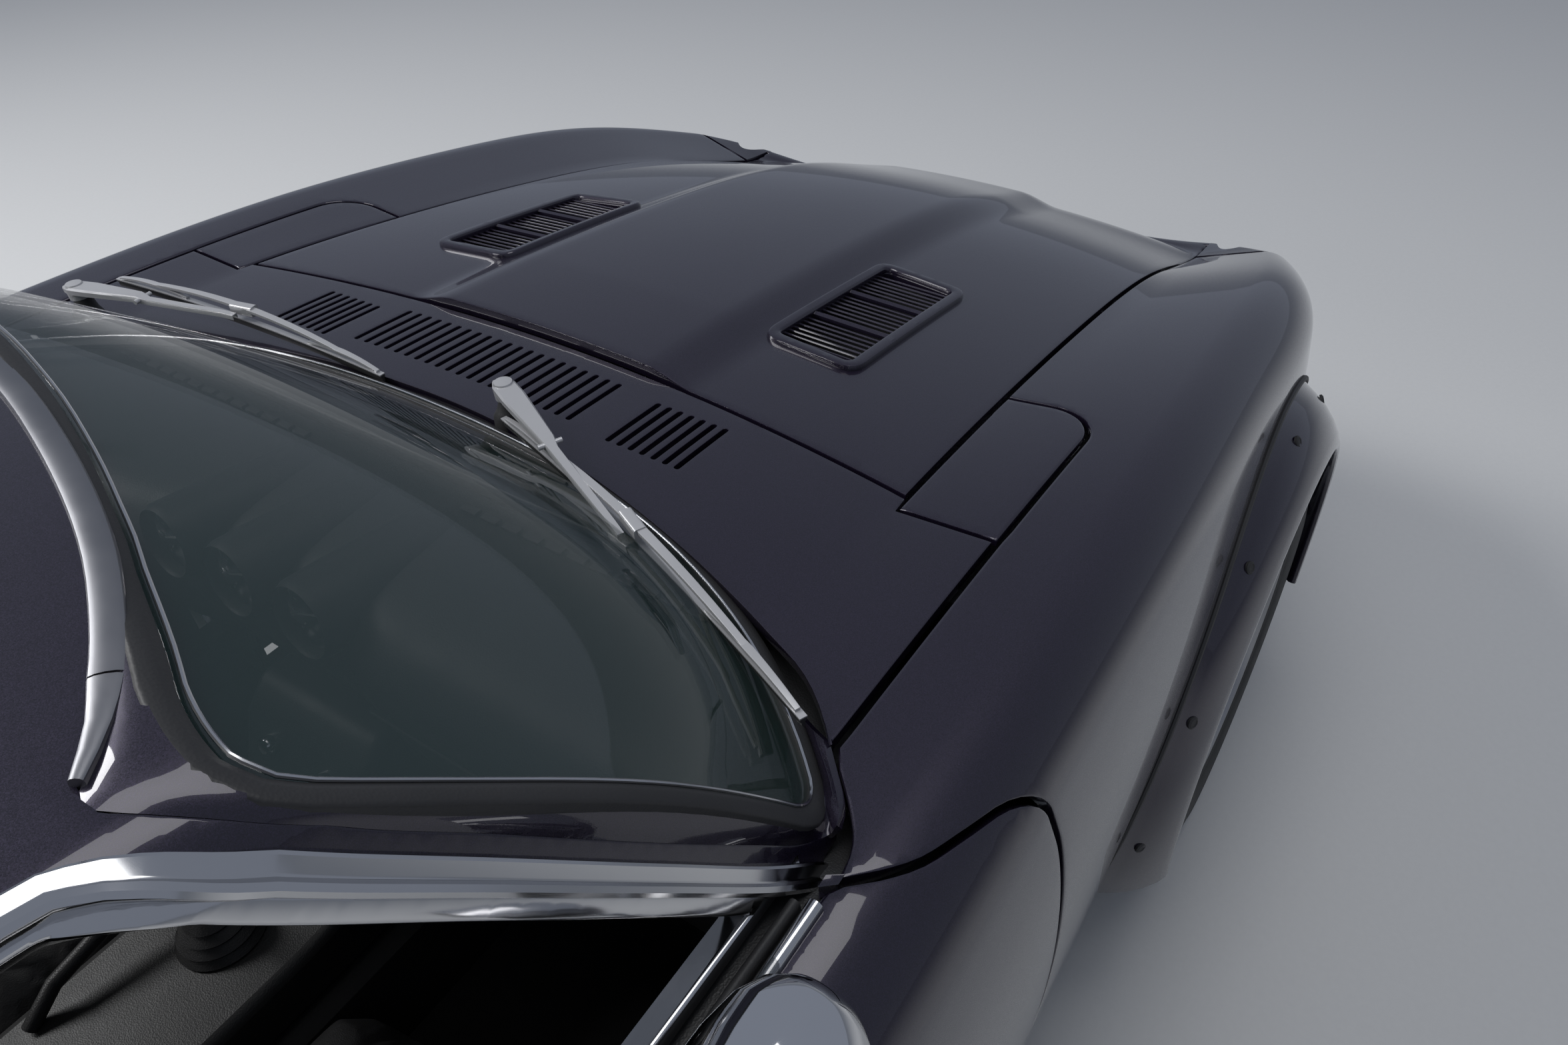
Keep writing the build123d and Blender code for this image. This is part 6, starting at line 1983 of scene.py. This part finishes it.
def build_stage(settings):
    floor = link("floor", [(-30, -30, -0.001), (30, -30, -0.001), (30, 30, -0.001), (-30, 30, -0.001)],
        [(0, 1, 2, 3)])
    m = Finish("pale floor", Roughness=0.8, Specular_IOR_Level=0.25)
    speck = m.noise(90.0, 4)
    pale = tuple(settings.floor_colour)
    m.feed("Base Color", m.blend(speck, (*[c * 0.94 for c in pale], 1), (*pale, 1)))
    floor.data.materials.append(m.material)
    world = bpy.data.worlds.new("studio")
    bpy.context.scene.world = world
    world.use_nodes = True
    tree = world.node_tree
    tree.nodes["Background"].inputs["Color"].default_value = (*settings.sky_colour, 1)
    tree.nodes["Background"].inputs["Strength"].default_value = settings.sky_strength
    for name, place, target, size, power in (
            ("key softbox", (-1.6, 4.6, 5.6), (0.4, 0.0, 0.5), (2.6, 2.6), settings.key_power),
            ("overhead softbox", (0.2, -0.4, 5.4), (0.3, 0.0, 0.6), (5.0, 2.2), settings.top_power),
            ("rear softbox", (-5.0, 2.4, 3.2), (-0.5, 0.0, 0.8), (3.0, 1.6), settings.rear_power)):
        light = bpy.data.lights.new(name, "AREA")
        light.shape, light.size, light.size_y = "RECTANGLE", *size
        light.energy = power
        lamp = bpy.data.objects.new(name, light)
        lamp.location = place
        lamp.rotation_euler = (Vector(target) - Vector(place)).to_track_quat("-Z", "Y").to_euler()
        bpy.context.scene.collection.objects.link(lamp)


CAMERA_PLACE = (ahead(-1304.9), -0.9248, 1.5743)
CAMERA_TURN, CAMERA_DOWN, CAMERA_ROLL = radians(35.847), radians(39.804), radians(-3.363)


def build_camera():
    f = Vector((cos(CAMERA_DOWN) * cos(CAMERA_TURN), cos(CAMERA_DOWN) * sin(CAMERA_TURN), -sin(CAMERA_DOWN)))
    level = f.cross(Vector(UP)).normalized()
    upright = level.cross(f)
    right = level * cos(CAMERA_ROLL) + upright * sin(CAMERA_ROLL)
    up = upright * cos(CAMERA_ROLL) - level * sin(CAMERA_ROLL)
    data = bpy.data.cameras.new("camera")
    data.sensor_width, data.lens = 36.0, 24.834
    data.clip_start, data.clip_end = 0.02, 100
    camera = bpy.data.objects.new("camera", data)
    turn = Matrix((right, up, -f)).transposed().to_4x4()
    camera.matrix_world = Matrix.Translation(CAMERA_PLACE) @ turn
    bpy.context.scene.collection.objects.link(camera)
    bpy.context.scene.camera = camera


# ---- Settings, operators and panel

class CarColours(bpy.types.PropertyGroup):
    paint: FloatVectorProperty(name="Paint", description="Body colour under the clear coat", size=3,
        subtype="COLOR", default=(0.0085, 0.0055, 0.015), min=0, max=1)
    flake: FloatVectorProperty(name="Flake", description="Colour of the metal flake", size=3,
        subtype="COLOR", default=(0.045, 0.032, 0.08), min=0, max=1)


class CarSizes(bpy.types.PropertyGroup):
    tread_blocks: IntProperty(name="Tread blocks", description="Blocks round each tyre, per row", default=72,
        min=24, max=120)


class StageSettings(bpy.types.PropertyGroup):
    floor_colour: FloatVectorProperty(name="Floor", description="Colour of the plain floor", size=3,
        subtype="COLOR", default=(0.66, 0.66, 0.65), min=0, max=1)
    sky_colour: FloatVectorProperty(name="Surround", description="Colour of the soft light all round",
        size=3, subtype="COLOR", default=(0.74, 0.82, 1.0), min=0, max=1)
    sky_strength: FloatProperty(name="Surround strength", description="Strength of the soft light all round",
        default=0.3, min=0)
    key_power: FloatProperty(name="Key", description="Power of the key softbox", default=300, min=0,
        subtype="POWER", unit="POWER")
    top_power: FloatProperty(name="Overhead", description="Power of the overhead softbox", default=90, min=0,
        subtype="POWER", unit="POWER")
    rear_power: FloatProperty(name="Rear", description="Power of the rear softbox", default=80, min=0,
        subtype="POWER", unit="POWER")


class CAR_OT_finishes(bpy.types.Operator):
    """Makes the materials of every piece"""
    bl_idname = "sports_car.finishes"
    bl_label = "Finishes"

    def execute(self, context):
        MATERIALS.update(make_materials(context.scene.car_colours))
        return {"FINISHED"}


class CAR_OT_bonnet(bpy.types.Operator):
    """Builds the bonnet skin with its raised middle"""
    bl_idname = "sports_car.bonnet"
    bl_label = "Bonnet"

    def execute(self, context):
        build_bonnet()
        return {"FINISHED"}


class CAR_OT_vents(bpy.types.Operator):
    """Builds the two louvred vents of the bonnet"""
    bl_idname = "sports_car.vents"
    bl_label = "Bonnet vents"

    def execute(self, context):
        build_vents()
        return {"FINISHED"}


class CAR_OT_lids(bpy.types.Operator):
    """Builds the lids between bonnet, wings and cowl"""
    bl_idname = "sports_car.lids"
    bl_label = "Inspection lids"

    def execute(self, context):
        build_lids()
        return {"FINISHED"}


class CAR_OT_wings(bpy.types.Operator):
    """Builds the front wing skins"""
    bl_idname = "sports_car.wings"
    bl_label = "Front wings"

    def execute(self, context):
        build_wings()
        return {"FINISHED"}


class CAR_OT_cowl(bpy.types.Operator):
    """Builds the cowl panel with its air slots"""
    bl_idname = "sports_car.cowl"
    bl_label = "Cowl"

    def execute(self, context):
        build_cowl()
        return {"FINISHED"}


class CAR_OT_greenhouse(bpy.types.Operator):
    """Builds the roof with its pillars as one skin"""
    bl_idname = "sports_car.greenhouse"
    bl_label = "Greenhouse"

    def execute(self, context):
        build_greenhouse()
        return {"FINISHED"}


class CAR_OT_windscreen(bpy.types.Operator):
    """Builds the windscreen with its seal and moulding"""
    bl_idname = "sports_car.windscreen"
    bl_label = "Windscreen"

    def execute(self, context):
        build_windscreen()
        return {"FINISHED"}


class CAR_OT_rails(bpy.types.Operator):
    """Builds the bright drip rails"""
    bl_idname = "sports_car.rails"
    bl_label = "Drip rails"

    def execute(self, context):
        build_rails()
        return {"FINISHED"}


class CAR_OT_doors(bpy.types.Operator):
    """Builds door skins, window frames, linings and belt trims"""
    bl_idname = "sports_car.doors"
    bl_label = "Doors"

    def execute(self, context):
        build_door_skins()
        return {"FINISHED"}


class CAR_OT_flares(bpy.types.Operator):
    """Builds the bolted flares with seams and screws"""
    bl_idname = "sports_car.flares"
    bl_label = "Wheel-arch flares"

    def execute(self, context):
        build_flares()
        return {"FINISHED"}


class CAR_OT_quarters(bpy.types.Operator):
    """Builds the rear body skin and the filler door"""
    bl_idname = "sports_car.quarters"
    bl_label = "Rear quarters"

    def execute(self, context):
        build_quarters()
        return {"FINISHED"}


class CAR_OT_tailgate(bpy.types.Operator):
    """Builds the tailgate and the fixed side windows"""
    bl_idname = "sports_car.tailgate"
    bl_label = "Tailgate"

    def execute(self, context):
        build_tailgate()
        return {"FINISHED"}


class CAR_OT_wheels(bpy.types.Operator):
    """Builds tyres, rims, caps and brake discs"""
    bl_idname = "sports_car.wheels"
    bl_label = "Wheels"

    def execute(self, context):
        build_wheels(context.scene.car_sizes.tread_blocks)
        return {"FINISHED"}


class CAR_OT_bumpers(bpy.types.Operator):
    """Builds both bumpers with their brackets"""
    bl_idname = "sports_car.bumpers"
    bl_label = "Bumpers"

    def execute(self, context):
        build_bumpers()
        return {"FINISHED"}


class CAR_OT_grille(bpy.types.Operator):
    """Builds the grille bars, supports and surround"""
    bl_idname = "sports_car.grille"
    bl_label = "Grille"

    def execute(self, context):
        build_grille()
        return {"FINISHED"}


class CAR_OT_headlamps(bpy.types.Operator):
    """Builds headlamps and the small front lamps"""
    bl_idname = "sports_car.headlamps"
    bl_label = "Front lamps"

    def execute(self, context):
        build_headlamps()
        return {"FINISHED"}


class CAR_OT_tail(bpy.types.Operator):
    """Builds tail lamps, plate and exhaust tip"""
    bl_idname = "sports_car.tail"
    bl_label = "Tail"

    def execute(self, context):
        build_tail()
        return {"FINISHED"}


class CAR_OT_wipers(bpy.types.Operator):
    """Builds wiper arms and blades"""
    bl_idname = "sports_car.wipers"
    bl_label = "Wipers"

    def execute(self, context):
        build_wipers()
        return {"FINISHED"}


class CAR_OT_mirrors(bpy.types.Operator):
    """Builds the door mirrors"""
    bl_idname = "sports_car.mirrors"
    bl_label = "Mirrors"

    def execute(self, context):
        build_mirrors()
        return {"FINISHED"}


class CAR_OT_door_fittings(bpy.types.Operator):
    """Builds handles, winders and armrests"""
    bl_idname = "sports_car.door_fittings"
    bl_label = "Door fittings"

    def execute(self, context):
        build_door_fittings()
        return {"FINISHED"}


class CAR_OT_dash(bpy.types.Operator):
    """Builds the dashboard with dials and slots"""
    bl_idname = "sports_car.dash"
    bl_label = "Dashboard"

    def execute(self, context):
        build_dash()
        return {"FINISHED"}


class CAR_OT_console(bpy.types.Operator):
    """Builds console, gear lever and pedals"""
    bl_idname = "sports_car.console"
    bl_label = "Console"

    def execute(self, context):
        build_console()
        return {"FINISHED"}


class CAR_OT_steering(bpy.types.Operator):
    """Builds the steering wheel and stalks"""
    bl_idname = "sports_car.steering"
    bl_label = "Steering wheel"

    def execute(self, context):
        build_steering_wheel()
        return {"FINISHED"}


class CAR_OT_seats(bpy.types.Operator):
    """Builds both padded seats on their frames"""
    bl_idname = "sports_car.seats"
    bl_label = "Seats"

    def execute(self, context):
        build_seats()
        return {"FINISHED"}


class CAR_OT_linings(bpy.types.Operator):
    """Builds headlining, carpets and inside mirror"""
    bl_idname = "sports_car.linings"
    bl_label = "Linings"

    def execute(self, context):
        build_linings()
        return {"FINISHED"}


class CAR_OT_underside(bpy.types.Operator):
    """Carries the solids that keep their shape"""
    bl_idname = "sports_car.underside"
    bl_label = "Underside"

    def execute(self, context):
        build_underside()
        return {"FINISHED"}


class CAR_OT_stage(bpy.types.Operator):
    """Builds floor, soft lights and camera"""
    bl_idname = "sports_car.stage"
    bl_label = "Stage"

    def execute(self, context):
        build_stage(context.scene.car_stage)
        build_camera()
        return {"FINISHED"}


OPERATORS = (
    CAR_OT_finishes, CAR_OT_bonnet, CAR_OT_vents, CAR_OT_lids, CAR_OT_wings, CAR_OT_cowl,
    CAR_OT_greenhouse, CAR_OT_windscreen, CAR_OT_rails, CAR_OT_doors, CAR_OT_flares, CAR_OT_quarters,
    CAR_OT_tailgate, CAR_OT_wheels, CAR_OT_bumpers, CAR_OT_grille, CAR_OT_headlamps, CAR_OT_tail,
    CAR_OT_wipers, CAR_OT_mirrors, CAR_OT_door_fittings, CAR_OT_dash, CAR_OT_console, CAR_OT_steering,
    CAR_OT_seats, CAR_OT_linings, CAR_OT_underside, CAR_OT_stage)


class CAR_PT_pieces(bpy.types.Panel):
    """Lists the steps that build the car and its settings"""
    bl_idname = "CAR_PT_pieces"
    bl_label = "Sports Car"
    bl_space_type = "VIEW_3D"
    bl_region_type = "UI"
    bl_category = "Sports Car"

    def draw(self, context):
        for group in (context.scene.car_colours, context.scene.car_sizes, context.scene.car_stage):
            for name in group.bl_rna.properties.keys():
                if name not in ("rna_type", "name"):
                    self.layout.prop(group, name)
        for operator in OPERATORS:
            self.layout.operator(operator.bl_idname)


CLASSES = (CarColours, CarSizes, StageSettings, *OPERATORS, CAR_PT_pieces)


def register():
    for cls in CLASSES:
        bpy.utils.register_class(cls)
    bpy.types.Scene.car_colours = PointerProperty(type=CarColours)
    bpy.types.Scene.car_sizes = PointerProperty(type=CarSizes)
    bpy.types.Scene.car_stage = PointerProperty(type=StageSettings)


def unregister():
    del bpy.types.Scene.car_colours, bpy.types.Scene.car_sizes, bpy.types.Scene.car_stage
    for cls in reversed(CLASSES):
        bpy.utils.unregister_class(cls)


def main():
    register()
    bpy.context.scene.view_settings.view_transform = "Standard"
    for operator in OPERATORS:
        getattr(bpy.ops.sports_car, operator.bl_idname.split(".")[1])()
    bpy.context.view_layer.update()


if __name__ == "__main__":
    main()
